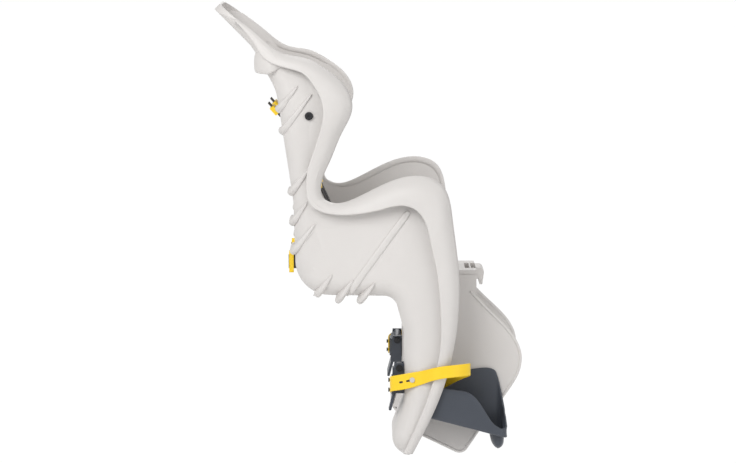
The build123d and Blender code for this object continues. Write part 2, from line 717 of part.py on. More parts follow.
# Release lever: knuckle on the pin, a plate behind the bracket with a tooth towards the rack, a thumb tip
lever_half = clip_half - cheek - lever_gap
lever_rear_x = lever_front_x - lever_thickness
with BuildPart() as release_lever:
    with BuildSketch(leg_side.offset(-lever_half)):
        with BuildLine():
            Polyline((pin_place[0], pin_place[1] + knuckle_radius / 2),
                     (pin_place[0], pin_place[1] - knuckle_radius / 2),
                     (lever_front_x, pin_place[1] - lever_shoulder), (lever_front_x, lever_bend_z),
                     (lever_tip[0] + lever_thickness, lever_tip[1]), lever_tip, (lever_rear_x, lever_bend_z),
                     (lever_rear_x, pin_place[1]), close=True)
        make_face()
        with Locations(pin_place):
            Circle(knuckle_radius)
        tooth_low_z = tooth_z - tooth_height / 2
        with BuildLine():
            Polyline((lever_rear_x + merge, tooth_low_z), (calf_x - tooth_gap, tooth_low_z + tooth_lead),
                     (calf_x - tooth_gap, tooth_low_z + tooth_height - tooth_lead),
                     (lever_rear_x + merge, tooth_low_z + tooth_height), close=True)
        make_face()
        with Locations(pin_place):
            Circle(pin_radius + fit, mode=Mode.SUBTRACT)
    extrude(amount=2 * lever_half)
    with BuildSketch(leg_frame.offset(tooth_low_z - tooth_gap)):
        with Locations((calf_x, 0)):
            Rectangle(2 * (calf_x - neck_rear_x), 2 * (neck_half + neck_clearance))
    extrude(amount=tooth_height + 2 * tooth_gap, mode=Mode.SUBTRACT)
    tip_edges = release_lever.edges().filter_by(Axis((0, 0, 0), leg_frame.y_dir)).sort_by(Axis.Z)[:2]
    fillet(tip_edges, radius=lever_thickness / 3)
save_pair(release_lever, "release_lever")

with BuildPart() as lever_pin:
    with BuildSketch(leg_side.offset(-clip_half - lever_gap / 2)):
        with Locations(pin_place):
            Circle(pin_radius)
    extrude(amount=2 * clip_half + lever_gap)
    for side_y in (-clip_half - lever_gap / 2 - pin_head, clip_half + lever_gap / 2):
        with BuildSketch(leg_side.offset(side_y)):
            with Locations(pin_place):
                Circle(pin_head_radius)
        extrude(amount=pin_head)
    with BuildSketch(leg_side.offset(clip_half + lever_gap / 2 + pin_head)):
        with Locations(pin_place):
            Circle(pin_recess)
    extrude(amount=-pin_head / 2, mode=Mode.SUBTRACT)
save_pair(lever_pin, "lever_pin")

with BuildPart() as clip_screw:
    clip_seat = clip_screw_frame.offset(neck_rear_x - clip_front_x + clip_depth)
    with BuildSketch(clip_seat):
        Circle(clip_screw_head)
    extrude(amount=clip_screw_head_height)
    with BuildSketch(clip_seat.offset(clip_screw_head_height)):
        Rectangle(clip_screw_cross, clip_screw_radius / 2)
        Rectangle(clip_screw_radius / 2, clip_screw_cross)
    extrude(amount=-clip_screw_head_height / 2, mode=Mode.SUBTRACT)
    with BuildSketch(clip_seat):
        Circle(clip_screw_radius)
    extrude(amount=-clip_screw_length)
save_pair(clip_screw, "clip_screw")

# Foot strap: from the bracket's pegs round the outside of the leg, over the foot to the tray's inner wall
upright = leg_frame.z_dir
strap_rear = [(x, y - clip_half, z) for x, y, z in strap_at_clip]
strap_rear += [(x, y - leg_half, z) for x, y, z in strap_at_leg]
strap_front = [(x, y - leg_half, z) for x, y, z in strap_at_lip]
strap_front += [(x, share * leg_half, z) for x, share, z in strap_over_foot]
strap_front += [(x, tray_half - tray_wall - y, z) for x, y, z in strap_in_tray]
strap_line = [(leg_frame.from_local_coords(place), upright, strap_rear_width) for place in strap_rear]
strap_line += [(leg_frame.from_local_coords(place), upright, strap_width) for place in strap_front]
rivet_run = Vector(*strap_rear[-1]) - Vector(*strap_rear[-2])
rivet_frame = Plane(
    origin=leg_frame.from_local_coords(strap_rear[-1]),
    x_dir=upright,
    z_dir=leg_frame.x_dir * rivet_run.Y - leg_frame.y_dir * rivet_run.X,
)
with BuildPart() as foot_strap:
    add(ribbon(strap_line, strap_thickness).part)
    for peg_z in peg_heights:
        with BuildSketch(Plane(
            origin=leg_frame.from_local_coords((lug_x, -clip_half - lug_reach / 2, peg_z)),
            x_dir=leg_frame.y_dir,
            z_dir=(-1, 0, 0),
        )):
            SlotOverall(4 * peg_radius, 2 * peg_radius + 2 * lever_gap)
        extrude(amount=2 * peg_length, both=True, mode=Mode.SUBTRACT)
    with BuildSketch(rivet_frame):
        Circle(rivet_radius + fit)
    extrude(amount=2 * strap_thickness, both=True, mode=Mode.SUBTRACT)
save_pair(foot_strap, "foot_strap")

with BuildPart() as strap_stud:
    for end in (strap_thickness / 2 + lever_gap, -strap_thickness / 2 - lever_gap - rivet_head / 2):
        with BuildSketch(rivet_frame.offset(end)):
            Circle(rivet_head_radius)
        extrude(amount=rivet_head if end > 0 else rivet_head / 2)
    with BuildSketch(rivet_frame):
        Circle(rivet_radius)
    extrude(amount=strap_thickness, both=True)
    fillet(strap_stud.faces().sort_by(Axis.Y)[0].edges(), radius=rivet_head / 3)
save_pair(strap_stud, "strap_stud")

# Shoulder straps: from a tail behind the back, through the slot, straight down to the buckle tongue
tongue_base_y = buckle_height / 2 + tongue_gap
tongue_top_y = tongue_base_y + tongue_head_height
shoulder_y = tongue_top_y - tongue_pocket + web_clearance
shoulder_end = harness.from_local_coords((-tongue_x, shoulder_y, tongue_layer))
shoulder_line = [((x, -shoulder_slot_y, z), (0, 1, 0), web_width) for x, z in shoulder_tail]
shoulder_start = Vector(*shoulder_line[-1][0])
run = (shoulder_end - shoulder_start).normalized()
across = (Vector(0, 1, 0) - run * run.Y).normalized()
shoulder_line += [(shoulder_start + run * step * shoulder_run, across, web_width) for step in (1, 2, 4)]
shoulder_line += [(shoulder_end, across, web_width)]
with BuildPart() as shoulder_strap:
    add(ribbon(shoulder_line, web_thickness).part)
save_pair(shoulder_strap, "shoulder_strap")

# Shoulder slide behind the back: a sleeve across the strap's tail, with a bar above and below the webbing
tail_low = Vector(shoulder_tail[2][0], -shoulder_slot_y, shoulder_tail[2][1])
tail_high = Vector(shoulder_tail[1][0], -shoulder_slot_y, shoulder_tail[1][1])
slide_plane = Plane(
    origin=tail_low + (tail_high - tail_low) * upper_slide_place,
    x_dir=(0, 1, 0),
    z_dir=tail_high - tail_low,
)
sleeve_depth = web_thickness + 2 * web_clearance + 2 * slide_bar
with BuildPart() as upper_slide:
    with BuildSketch(slide_plane):
        RectangleRounded(web_width + 2 * slide_side, sleeve_depth, slide_bar)
        Rectangle(web_width + 2 * web_clearance, web_thickness + 2 * web_clearance, mode=Mode.SUBTRACT)
    extrude(amount=slide_length / 2, both=True)
save_pair(upper_slide, "upper_slide")

# Shoulder adjuster: a frame round the strap with two lugs that carry a roller in its front window
adjuster_at = shoulder_start + (shoulder_end - shoulder_start) * adjuster_place
adjuster = Plane(origin=adjuster_at, x_dir=across, z_dir=across.cross(run))
frame_half = web_thickness / 2 + web_clearance + adjuster_bar
roller_z = web_thickness / 2 + web_clearance + roller_radius
lug_inner = web_width / 2 + roller_gap
with BuildPart() as strap_adjuster:
    with BuildSketch(adjuster.offset(-frame_half)):
        RectangleRounded(web_width + 2 * adjuster_side, adjuster_length, adjuster_side)
    extrude(amount=2 * frame_half)
    with BuildSketch(adjuster):
        for side in (-1, 1):
            with Locations((side * (lug_inner + adjuster_side / 2 - roller_gap / 2), 0)):
                Rectangle(adjuster_side - roller_gap, adjuster_window)
    extrude(amount=roller_z + roller_radius)
    with BuildSketch(adjuster.offset(-web_thickness / 2 - web_clearance)):
        Rectangle(web_width + 2 * web_clearance, 2 * adjuster_length)
    extrude(amount=web_thickness + 2 * web_clearance, mode=Mode.SUBTRACT)
    with BuildSketch(adjuster):
        Rectangle(2 * lug_inner, adjuster_window)
    extrude(amount=roller_z + 2 * roller_radius, mode=Mode.SUBTRACT)
    with BuildSketch(Plane(origin=adjuster.from_local_coords((-web_width, 0, roller_z)), z_dir=across)):
        Circle(roller_pin + fit)
    extrude(amount=2 * web_width, mode=Mode.SUBTRACT)
save_pair(strap_adjuster, "strap_adjuster")

with BuildPart() as adjuster_roller:
    with BuildSketch(Plane(origin=adjuster.from_local_coords((-web_width / 2, 0, roller_z)), z_dir=across)):
        Circle(roller_radius - web_clearance / 2)
    extrude(amount=web_width)
    pin_end = web_width / 2 + adjuster_side
    with BuildSketch(Plane(origin=adjuster.from_local_coords((-pin_end, 0, roller_z)), z_dir=across)):
        Circle(roller_pin)
    extrude(amount=2 * pin_end)
save_pair(adjuster_roller, "adjuster_roller")

# Lap straps: upright webbing through the slots beside the pan, turning flat into the rear of the tongue head
tongue_side_x = -tongue_x - tongue_head_width / 2
lap_y = tongue_base_y + tongue_head_height / 2
lap_in = harness.from_local_coords((tongue_side_x - slide_length / 2, lap_y, -tongue_layer))
lap_end = harness.from_local_coords((tongue_side_x + tongue_pocket - web_clearance, lap_y, -tongue_layer))
leaning = harness.y_dir
lap_stations = [(place, (0, 0, 1), web_width) for place in lap_line[:4]]
lap_stations += [(place, Vector(0, 0, 1) + leaning, web_width) for place in lap_line[4:5]]
lap_stations += [(place, leaning, web_width) for place in lap_line[5:]]
lap_stations += [(lap_in, leaning, web_width)]
with BuildPart() as lap_strap:
    add(ribbon(lap_stations, web_thickness).part)
    lap_direction = lap_end - lap_in
    with BuildSketch(Plane(origin=lap_in, x_dir=leaning, z_dir=lap_direction)):
        Rectangle(web_width, web_thickness)
    extrude(amount=lap_direction.length)
save_pair(lap_strap, "lap_strap")

with BuildPart() as lower_slide:
    lap_tail = (Vector(*lap_line[0]) + Vector(*lap_line[1])) * 0.5
    with BuildSketch(Plane(origin=lap_tail, x_dir=(0, 0, 1), z_dir=(-1, 0, 0))):
        RectangleRounded(web_width + 2 * slide_side, sleeve_depth, slide_bar)
        Rectangle(web_width + 2 * web_clearance, web_thickness + 2 * web_clearance, mode=Mode.SUBTRACT)
    extrude(amount=slide_length / 4, both=True)
save_pair(lower_slide, "lower_slide")

# Crotch strap: from the foot of the buckle over the pan and down through the bridge into its retainer
crotch_top = harness.from_local_coords((0, buckle_wall + slide_length / 4 - buckle_height / 2, 0))
crotch_mouth = harness.from_local_coords((0, -buckle_height / 2 - buckle_wall, 0))
crotch_stations = [(place, (0, 1, 0), web_width) for place in (crotch_top, crotch_mouth)]
crotch_stations += [((x, 0, z), (0, 1, 0), web_width) for x, z in crotch_line]
with BuildPart() as crotch_strap:
    add(ribbon(crotch_stations, web_thickness).part)
save(crotch_strap, "crotch_strap")

with BuildPart() as crotch_retainer:
    retainer_top_z = crotch_slot_z - 1.5 * wall - web_clearance
    with BuildSketch(Plane.XY.offset(retainer_top_z)):
        with Locations((crotch_slot_x, 0)):
            RectangleRounded(sleeve_depth + retainer_side, web_width + 2 * slide_side, slide_bar)
            Rectangle(web_thickness + 4 * web_clearance, web_width + 2 * web_clearance, mode=Mode.SUBTRACT)
    extrude(amount=-retainer_height)
save(crotch_retainer, "crotch_retainer")

# Buckle: two halves round the tongues, with a press button in a window of the front half
room = buckle_half_depth - buckle_wall
inner_width = buckle_width - 2 * buckle_wall
inner_height = buckle_height - 2 * buckle_wall
with BuildPart() as buckle_mouths:
    with BuildSketch(harness.offset(-tongue_thickness / 2 - tongue_gap)):
        with Locations((-tongue_x, buckle_height / 2), (tongue_x, buckle_height / 2)):
            Rectangle(tongue_blade + 2 * tongue_gap, 3 * buckle_wall)
        with Locations((0, -buckle_height / 2)):
            Rectangle(web_width + 2 * web_clearance, 3 * buckle_wall)
    extrude(amount=tongue_thickness + 2 * tongue_gap)

with BuildPart() as buckle_rear:
    with BuildSketch(harness):
        RectangleRounded(buckle_width, buckle_height, buckle_corner)
    extrude(amount=-buckle_half_depth)
    fillet(buckle_rear.faces().sort_by(Axis((0, 0, 0), harness.z_dir))[0].edges(), radius=buckle_wall)
    with BuildSketch(harness):
        RectangleRounded(inner_width, inner_height, buckle_corner - buckle_wall)
    extrude(amount=-room, mode=Mode.SUBTRACT)
    add(buckle_mouths.part, mode=Mode.SUBTRACT)
save(buckle_rear, "buckle_rear")

with BuildPart() as buckle_front:
    with BuildSketch(harness):
        RectangleRounded(buckle_width, buckle_height, buckle_corner)
    extrude(amount=buckle_half_depth)
    fillet(buckle_front.faces().sort_by(Axis((0, 0, 0), harness.z_dir))[-1].edges(), radius=buckle_wall)
    with BuildSketch(harness):
        RectangleRounded(inner_width, inner_height, buckle_corner - buckle_wall)
    extrude(amount=room, mode=Mode.SUBTRACT)
    with BuildSketch(harness):
        with Locations((0, button_y)):
            Rectangle(button_size + 2 * button_clearance, button_size + 2 * button_clearance)
    extrude(amount=2 * buckle_half_depth, mode=Mode.SUBTRACT)
    add(buckle_mouths.part, mode=Mode.SUBTRACT)
save(buckle_front, "buckle_front")

with BuildPart() as buckle_button:
    button_back = room - button_clearance - button_rim
    with BuildSketch(harness.offset(button_back)):
        with Locations((0, button_y)):
            Rectangle(button_size + 4 * button_rim, button_size + 2 * button_rim)
    extrude(amount=button_rim)
    with BuildSketch(harness.offset(button_back)):
        with Locations((0, button_y)):
            Rectangle(button_size, button_size)
    extrude(amount=buckle_half_depth + button_rise - button_back)
    fillet(buckle_button.faces().sort_by(Axis((0, 0, 0), harness.z_dir))[-1].edges(), radius=button_rise / 2)
save(buckle_button, "buckle_button")

# Buckle tongue: a blade into the buckle under a head with a pocket for each sewn strap end
with BuildPart() as buckle_tongue:
    with BuildSketch(harness.offset(-tongue_thickness / 2)):
        with Locations((-tongue_x, tongue_base_y - tongue_depth / 2 + tongue_gap)):
            Rectangle(tongue_blade, tongue_depth + 2 * tongue_gap)
    extrude(amount=tongue_thickness)
    with BuildSketch(harness.offset(-tongue_head_half)):
        with Locations((-tongue_x, lap_y)):
            RectangleRounded(tongue_head_width, tongue_head_height, 2 * slide_bar)
    extrude(amount=2 * tongue_head_half)
    with BuildSketch(Plane(origin=shoulder_end, x_dir=across, z_dir=run)):
        Rectangle(web_width + 2 * web_clearance, web_thickness + 2 * web_clearance)
    extrude(amount=-2 * tongue_pocket, mode=Mode.SUBTRACT)
    with BuildSketch(Plane(origin=lap_end, x_dir=leaning, z_dir=(0, -1, 0))):
        Rectangle(web_width + 2 * web_clearance, web_thickness + 2 * web_clearance)
    extrude(amount=2 * tongue_pocket, mode=Mode.SUBTRACT)
save_pair(buckle_tongue, "buckle_tongue")
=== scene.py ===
"""Child bicycle seat, dressed. X forwards, Y to the child's left, Z up, origin at the carrier bolts.

Shapes are worked out in millimetres. Finishes, lights and camera are in metres.
"""

import bmesh
import bpy
import numpy as np
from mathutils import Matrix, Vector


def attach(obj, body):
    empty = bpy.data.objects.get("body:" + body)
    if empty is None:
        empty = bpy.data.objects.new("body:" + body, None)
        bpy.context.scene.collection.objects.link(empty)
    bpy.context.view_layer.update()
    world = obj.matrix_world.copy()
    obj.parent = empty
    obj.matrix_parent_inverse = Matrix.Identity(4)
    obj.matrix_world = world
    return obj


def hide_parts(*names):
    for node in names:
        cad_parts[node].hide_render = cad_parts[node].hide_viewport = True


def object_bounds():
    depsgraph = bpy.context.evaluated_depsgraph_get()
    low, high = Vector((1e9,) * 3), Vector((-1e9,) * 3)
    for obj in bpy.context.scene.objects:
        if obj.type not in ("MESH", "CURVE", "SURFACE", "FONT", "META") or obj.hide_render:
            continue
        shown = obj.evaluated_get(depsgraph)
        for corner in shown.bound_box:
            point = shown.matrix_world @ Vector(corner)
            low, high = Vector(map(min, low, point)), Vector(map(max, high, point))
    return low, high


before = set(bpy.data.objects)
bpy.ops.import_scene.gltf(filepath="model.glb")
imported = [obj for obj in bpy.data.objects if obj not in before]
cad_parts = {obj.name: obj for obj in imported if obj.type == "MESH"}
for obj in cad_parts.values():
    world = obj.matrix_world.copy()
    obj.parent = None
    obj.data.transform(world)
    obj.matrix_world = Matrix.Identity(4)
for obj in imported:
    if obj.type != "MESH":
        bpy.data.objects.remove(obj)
cad_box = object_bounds()


# The shell is one injection moulding in pale warm grey polypropylene with a fine spark-eroded grain.
# It carries everything else: headrest, back, pan, leg troughs, guard panels and the hook block in front.
# It is shown by a copy of its solid's mesh, with lower side walls at the headrest.
class Wire:
    """An output socket. Arithmetic on wires adds Math nodes, and node() adds any other node."""

    def __init__(self, tree, socket):
        self.tree = tree
        self.socket = socket

    def node(self, kind, settings, inputs, output=0):
        """Add a node, set it, then set or link its inputs by name or number, and return one output."""
        made = self.tree.nodes.new(kind)
        for key, value in settings.items():
            setattr(made, key, value)
        for key, value in inputs.items():
            if isinstance(value, Wire):
                self.tree.links.new(value.socket, made.inputs[key])
            else:
                made.inputs[key].default_value = value
        return Wire(self.tree, made.outputs[output])

    def feed(self, socket):
        """Link this wire to an input socket of a node that is already there."""
        self.tree.links.new(self.socket, socket)

    def math(self, operation, first, second=0.0):
        return self.node("ShaderNodeMath", {"operation": operation}, {0: first, 1: second})

    def __add__(self, other):
        return self.math("ADD", self, other)

    def __radd__(self, other):
        return self.math("ADD", other, self)

    def __sub__(self, other):
        return self.math("SUBTRACT", self, other)

    def __rsub__(self, other):
        return self.math("SUBTRACT", other, self)

    def __mul__(self, other):
        return self.math("MULTIPLY", self, other)

    def __rmul__(self, other):
        return self.math("MULTIPLY", other, self)

    def noise(self, scale, detail=2.0, roughness=0.5):
        """Noise of about 1 / scale metres to a lump, from 0 to 1."""
        inputs = {"Vector": self, "Scale": scale, "Detail": detail, "Roughness": roughness}
        return self.node("ShaderNodeTexNoise", {}, inputs)

    def blend(self, first, second):
        """Colour between two colours or colour wires, by this wire's value."""
        ends = [end if isinstance(end, Wire) else (*end, 1) for end in (first, second)]
        return self.node("ShaderNodeMix", {"data_type": "RGBA"}, {0: self, 6: ends[0], 7: ends[1]}, output=2)

    def bump(self, depth, normal):
        """Normal bent by this wire as a height, whose full range is that depth in metres."""
        inputs = {"Strength": 1.0, "Distance": depth, "Height": self, "Normal": normal}
        return self.node("ShaderNodeBump", {}, inputs)


def new_finish(name, rounding=0.0006):
    """A material with its shader, Object coordinates, and normals rounded over sharp edges by that radius."""
    material = bpy.data.materials.new(name)
    material.use_nodes = True
    tree = material.node_tree
    shader = tree.nodes["Principled BSDF"]
    place = Wire(tree, tree.nodes.new("ShaderNodeTexCoord").outputs["Object"])
    edges = place.node("ShaderNodeBevel", {"samples": 6}, {"Radius": rounding})
    return material, shader, place, edges


def moulded(name, dark, light, roughness, grain, depth, rounding=0.0006):
    """Moulded plastic: grain of that size and depth, and a faint cloudy tone and gloss from flow marks."""
    material, shader, place, edges = new_finish(name, rounding)
    cloud = place.noise(scale=9.0, detail=3.0)
    flow = place.noise(scale=55.0, detail=4.0, roughness=0.6)
    speckle = place.noise(scale=1 / grain, detail=3.0, roughness=0.65)
    tone = 0.6 * cloud + 0.25 * flow + 0.15 * speckle
    tone.blend(dark, light).feed(shader.inputs["Base Color"])
    (roughness - 0.08 + 0.1 * flow + 0.06 * speckle).feed(shader.inputs["Roughness"])
    speckle.bump(depth, edges).feed(shader.inputs["Normal"])
    shader.inputs["Specular IOR Level"].default_value = 0.4
    return material


def dress(material, *nodes):
    """Give CAD nodes a finish."""
    for node in nodes:
        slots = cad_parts[node].data.materials
        slots.clear()
        slots.append(material)


def pair(*names):
    """Names of the right and the left one of each."""
    return [f"{name}_{side}" for name in names for side in ("right", "left")]


shell_grey = moulded(
    "shell_plastic", dark=(0.63, 0.605, 0.585), light=(0.70, 0.675, 0.655), roughness=0.46, grain=0.0007,
    depth=0.00006, rounding=0.0012,
)
dress(shell_grey, "seat_shell")
head_foot = np.array((-0.172, 0.425))
head_share = 0.54
head_start = 0.0092
head_run = 0.0818
same_place = 1e-7


def lowered_head(points):
    """Points of the shell, in metres, with the headrest's side walls lowered towards its tip.

    The head is a slope of 45 degrees from head_foot. At dx, dz from there a point lies (dz - dx) / sqrt 2
    along the slope and (dx + dz) / sqrt 2 above it. From head_start on, over head_run, that height falls to
    head_share of itself.
    """
    x = points[:, 0] - head_foot[0]
    z = points[:, 2] - head_foot[1]
    fall = (1 - head_share) * np.clip(((z - x) / np.sqrt(2) - head_start) / head_run, 0, 1)
    cut = fall * np.clip(x + z, 0, None) / 2
    return points - np.stack([cut, np.zeros(len(cut)), cut], axis=1)


def read(items, key, columns, kind=np.float32):
    """One property of all of a mesh's vertices or corners, as an array with a row for each."""
    values = np.zeros(columns * len(items), kind)
    items.foreach_get(key, values)
    return values.reshape(-1, columns)


shell = bpy.data.objects.new("shell_body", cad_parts["seat_shell"].data.copy())
bpy.context.scene.collection.objects.link(shell)
shading = read(shell.data.corner_normals, "vector", 3)
merged = bmesh.new()
merged.from_mesh(shell.data)
bmesh.ops.remove_doubles(merged, verts=merged.verts, dist=same_place)
merged.to_mesh(shell.data)
merged.free()
shell.data.vertices.foreach_set("co", lowered_head(read(shell.data.vertices, "co", 3)).ravel())
shell.data.update()
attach(shell, "seat")
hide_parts("seat_shell")

# The shell's wall ends in a rolled lip: it turns over the rim and flares out and back, which stiffens the
# moulding and keeps clothes away from the wheel. It runs from the head down the wing and the arm to the foot.
# A station gives the rim (x, z), the lip's edge (x, z), and how far that edge stands out from the side.
lip_stations = [
    ((-197.3, 473.1), (-198.0, 471.0), 0.6), ((-163.0, 447.0), (-167.0, 438.0), 2.0),
    ((-119.0, 415.0), (-137.0, 404.0), 8.0), ((-76.0, 405.5), (-91.0, 391.5), 16.0),
    ((-50.0, 392.0), (-73.0, 381.0), 19.0),
    ((-23.0, 372.0), (-58.0, 361.0), 20.0), ((-5.0, 347.0), (-48.0, 340.0), 20.0),
    ((-1.0, 326.0), (-45.0, 320.0), 20.0), ((-18.0, 284.0), (-52.0, 281.0), 17.0),
    ((-40.0, 233.0), (-66.0, 238.0), 13.0), ((-55.0, 190.0), (-74.0, 195.0), 12.0),
    ((-51.0, 171.0), (-70.0, 168.0), 13.0), ((-27.0, 161.0), (-43.0, 151.0), 17.0),
    ((-5.0, 164.5), (-10.0, 149.0), 20.0), ((23.0, 177.0), (30.0, 154.0), 22.0),
    ((96.0, 207.0), (88.0, 166.0), 23.0), ((125.0, 207.0), (108.0, 160.0), 23.0),
    ((149.0, 197.0), (122.0, 146.0), 22.0), ((171.0, 133.0), (137.0, 103.0), 21.0),
    ((181.5, 35.0), (151.0, 33.0), 17.5), ((180.5, -20.0), (155.5, -24.0), 15.0),
    ((168.0, -102.0), (151.0, -102.0), 11.0), ((147.5, -168.0), (131.5, -169.0), 8.0),
    ((102.0, -261.0), (92.0, -260.0), 5.0),
]
wall = 3.5
lip_bow = 0.14
lip_proud = 0.7
lip_full = 5.0
lip_thin_share = 0.3
lip_thin_breadth = 2.0
lip_full_breadth = 10.0
lip_edge_gap = 0.4
lip_root = [
    (wall / 2 + 0.05, -9.0), (wall / 2 + 0.35, -4.0), (wall / 2 + 0.5, 0.2), (1.3, 1.9), (-0.4, 2.5),
]
lip_end = (-0.95, -9.0)
width_levels = [-420.0, 150.0, 330.0, 455.0, 875.0]
width_halves = [206.5, 121.0, 113.0, 93.0, 81.0]
width_growth = 0.08
width_start = -50.0
sideways = np.array((0.0, 1.0, 0.0))


def chords(points):
    """Distance along the straight runs from the first point to each point."""
    runs = np.linalg.norm(np.diff(np.asarray(points, float), axis=0), axis=1)
    return np.concatenate([[0.0], np.cumsum(runs)])


def through(knots, values, at):
    """Natural cubic spline s through values at knots, at other places.

    Its second derivatives m solve h0 m0 + 2 (h0 + h1) m1 + h1 m2 = 6 (slope1 - slope0).
    They are 0 at both ends.
    """
    values = np.asarray(values, float)
    gap = np.diff(knots)
    slope = np.diff(values, axis=0) / gap[:, None]
    inner = np.arange(1, len(knots) - 1)
    rows = np.eye(len(knots))
    rows[inner, inner - 1] = gap[:-1]
    rows[inner, inner] = 2 * (gap[:-1] + gap[1:])
    rows[inner, inner + 1] = gap[1:]
    right = np.zeros_like(values)
    right[inner] = 6 * np.diff(slope, axis=0)
    bend = np.linalg.solve(rows, right)
    cell = np.clip(np.searchsorted(knots, at) - 1, 0, len(gap) - 1)
    span = gap[cell][:, None]
    up = (at - knots[cell])[:, None]
    down = (knots[cell + 1] - at)[:, None]
    curve = (bend[cell] * down ** 3 + bend[cell + 1] * up ** 3) / (6 * span)
    curve += (values[cell] / span - bend[cell] * span / 6) * down
    return curve + (values[cell + 1] / span - bend[cell + 1] * span / 6) * up


def unit(vectors):
    """Each vector divided by its length."""
    return vectors / np.linalg.norm(vectors, axis=-1, keepdims=True)


def smooth(value):
    """3 v^2 - 2 v^3, with v kept from 0 to 1."""
    value = np.clip(value, 0, 1)
    return value * value * (3 - 2 * value)


def half_width(x, z):
    """Half-width of the shell: straight from legs to hips, wings and crown, plus growth towards the front."""
    return np.interp(z, width_levels, width_halves) + width_growth * (x - width_start)


def tube(name, parts, material, body, uv=None, sharp=()):
    """One mesh of closed tubes, each through its rings of points in millimetres, with a cap at each end.

    Quads join neighbouring rings. Faces point outwards: the sum of normal . (face centre - ring centre) over
    a tube's quads is made positive. Tubes whose number is in sharp are flat shaded.
    """
    vertices = np.concatenate([rings.reshape(-1, 3) for rings in parts])
    faces = []
    soft = []
    start = 0
    for number, rings in enumerate(parts):
        rows, columns = rings.shape[:2]
        index = np.arange(rows * columns).reshape(rows, columns)
        following = np.roll(index, -1, axis=1)
        quads = np.stack([index[:-1], following[:-1], following[1:], index[1:]], axis=-1)
        corners = rings.reshape(-1, 3)[quads]
        normals = np.cross(corners[:, :, 2] - corners[:, :, 0], corners[:, :, 3] - corners[:, :, 1])
        centres = (rings[:-1].mean(axis=1) + rings[1:].mean(axis=1))[:, None] / 2
        order = 1 if (normals * (corners.mean(axis=2) - centres)).sum() > 0 else -1
        faces += (quads.reshape(-1, 4) + start)[:, ::order].tolist()
        faces += [(index[0, ::-order] + start).tolist(), (index[-1, ::order] + start).tolist()]
        soft += [number not in sharp] * (len(faces) - len(soft))
        start += rows * columns
    mesh = bpy.data.meshes.new(name)
    mesh.from_pydata((vertices / 1000).tolist(), [], faces)
    if uv is not None:
        at = read(mesh.loops, "vertex_index", 1, np.int32)[:, 0]
        layer = mesh.uv_layers.new(name="along")
        layer.data.foreach_set("uv", uv.reshape(-1, 2)[at].astype(np.float32).ravel())
    mesh.polygons.foreach_set("use_smooth", soft)
    mesh.materials.append(material)
    piece = bpy.data.objects.new(name, mesh)
    bpy.context.scene.collection.objects.link(piece)
    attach(piece, body)
    return piece


def tube_pair(name, parts, material, body, uv=None, sharp=()):
    """Right-hand tubes and their mirror image, each on its own side's body."""
    right = tube(f"{name}_right", parts, material, body.format("right"), uv, sharp)
    other = [rings * np.array((1.0, -1.0, 1.0)) for rings in parts]
    return right, tube(f"{name}_left", other, material, body.format("left"), uv, sharp)


def rolled_lip(rim, edge, flare):
    """Rings of the lip along the rim: root on the wall, outer face, round edge and inner face.

    With s from 0 at the rim to 1 at the edge, n the normal towards the seat and b the lip's breadth, the
    outer face is rim + s (edge - rim) - n (4 bow s (1 - s) b + proud). The inner face lies a thickness
    further along n.
    """
    top = np.stack([rim[:, 0], wall / 2 - half_width(*rim.T), rim[:, 1]], axis=1)
    brim = np.stack([edge[:, 0], -half_width(*edge.T) - flare, edge[:, 1]], axis=1)
    reach = brim - top
    breadth = np.linalg.norm(reach, axis=1, keepdims=True)
    inward = unit(np.cross(np.gradient(top, axis=0), reach))
    inward = inward * np.sign(inward[:, 1:2])
    upward = -unit(reach * (1 - sideways))
    filled = smooth((breadth - lip_thin_breadth) / (lip_full_breadth - lip_thin_breadth))
    thickness = lip_full * (lip_thin_share + (1 - lip_thin_share) * filled)
    ring = [top + sideways * inside + upward * above for inside, above in lip_root]
    for share in np.linspace(0.1, 1.0, 14):
        bow = 4 * lip_bow * share * (1 - share) * breadth
        ring.append(top + reach * share - inward * (bow + lip_proud))
    for turn in np.linspace(0.2, 0.8, 5) * np.pi:
        level = thickness / 2 * (1 - np.cos(turn)) - lip_proud
        ring.append(brim + inward * level + unit(reach) * (lip_edge_gap + np.sin(turn) * thickness / 2))
    for share in np.linspace(1.0, 0.22, 9):
        bow = 4 * lip_bow * share * (1 - share) * breadth
        ring.append(top + reach * share - inward * (bow + lip_proud - thickness))
    ring.append(top + sideways * lip_end[0] + upward * lip_end[1])
    return np.stack(ring, axis=1)


rim_points, edge_points, stand_out = zip(*lip_stations)
rim_knots = chords(rim_points)
lip_steps = np.linspace(0, rim_knots[-1], 420)
lip_rings = rolled_lip(
    through(rim_knots, rim_points, lip_steps), through(rim_knots, edge_points, lip_steps),
    through(rim_knots, np.reshape(stand_out, (-1, 1)), lip_steps)[:, 0],
)
tube_pair("shell_lip", [lip_rings], shell_grey, "seat")

# Gill fins grow out of the sides and wrap round the corner of the back and the edge of the pan, where they
# stand out furthest. They are moulded on, brace the corner, and run out to a point up the side.
# The shell's copy has the solid's own plain fins on the back drawn in, to make room for these.
back_fins = [
    ((-93.0, 360.5), (-128.8, 315.0)), ((-69.0, 347.2), (-122.8, 277.5)), ((-71.0, 222.6), (-108.3, 172.0)),
    ((-77.0, 162.8), (-106.0, 120.0)), ((-63.2, 126.3), (-105.2, 71.0)),
]
pan_fins = [((-34.0, 40.0), (-64.0, -2.0)), ((2.0, 32.0), (-28.0, -12.0)), ((38.0, 26.0), (10.0, -12.0))]
solid_fins = [
    ((-94.0, 360.0), (-140.0, 303.0)), ((-67.0, 347.0), (-140.0, 258.0)), ((-71.0, 223.0), (-125.0, 142.0)),
    ((-80.0, 162.0), (-120.0, 96.0)), ((-63.0, 116.0), (-118.0, 42.0)),
]
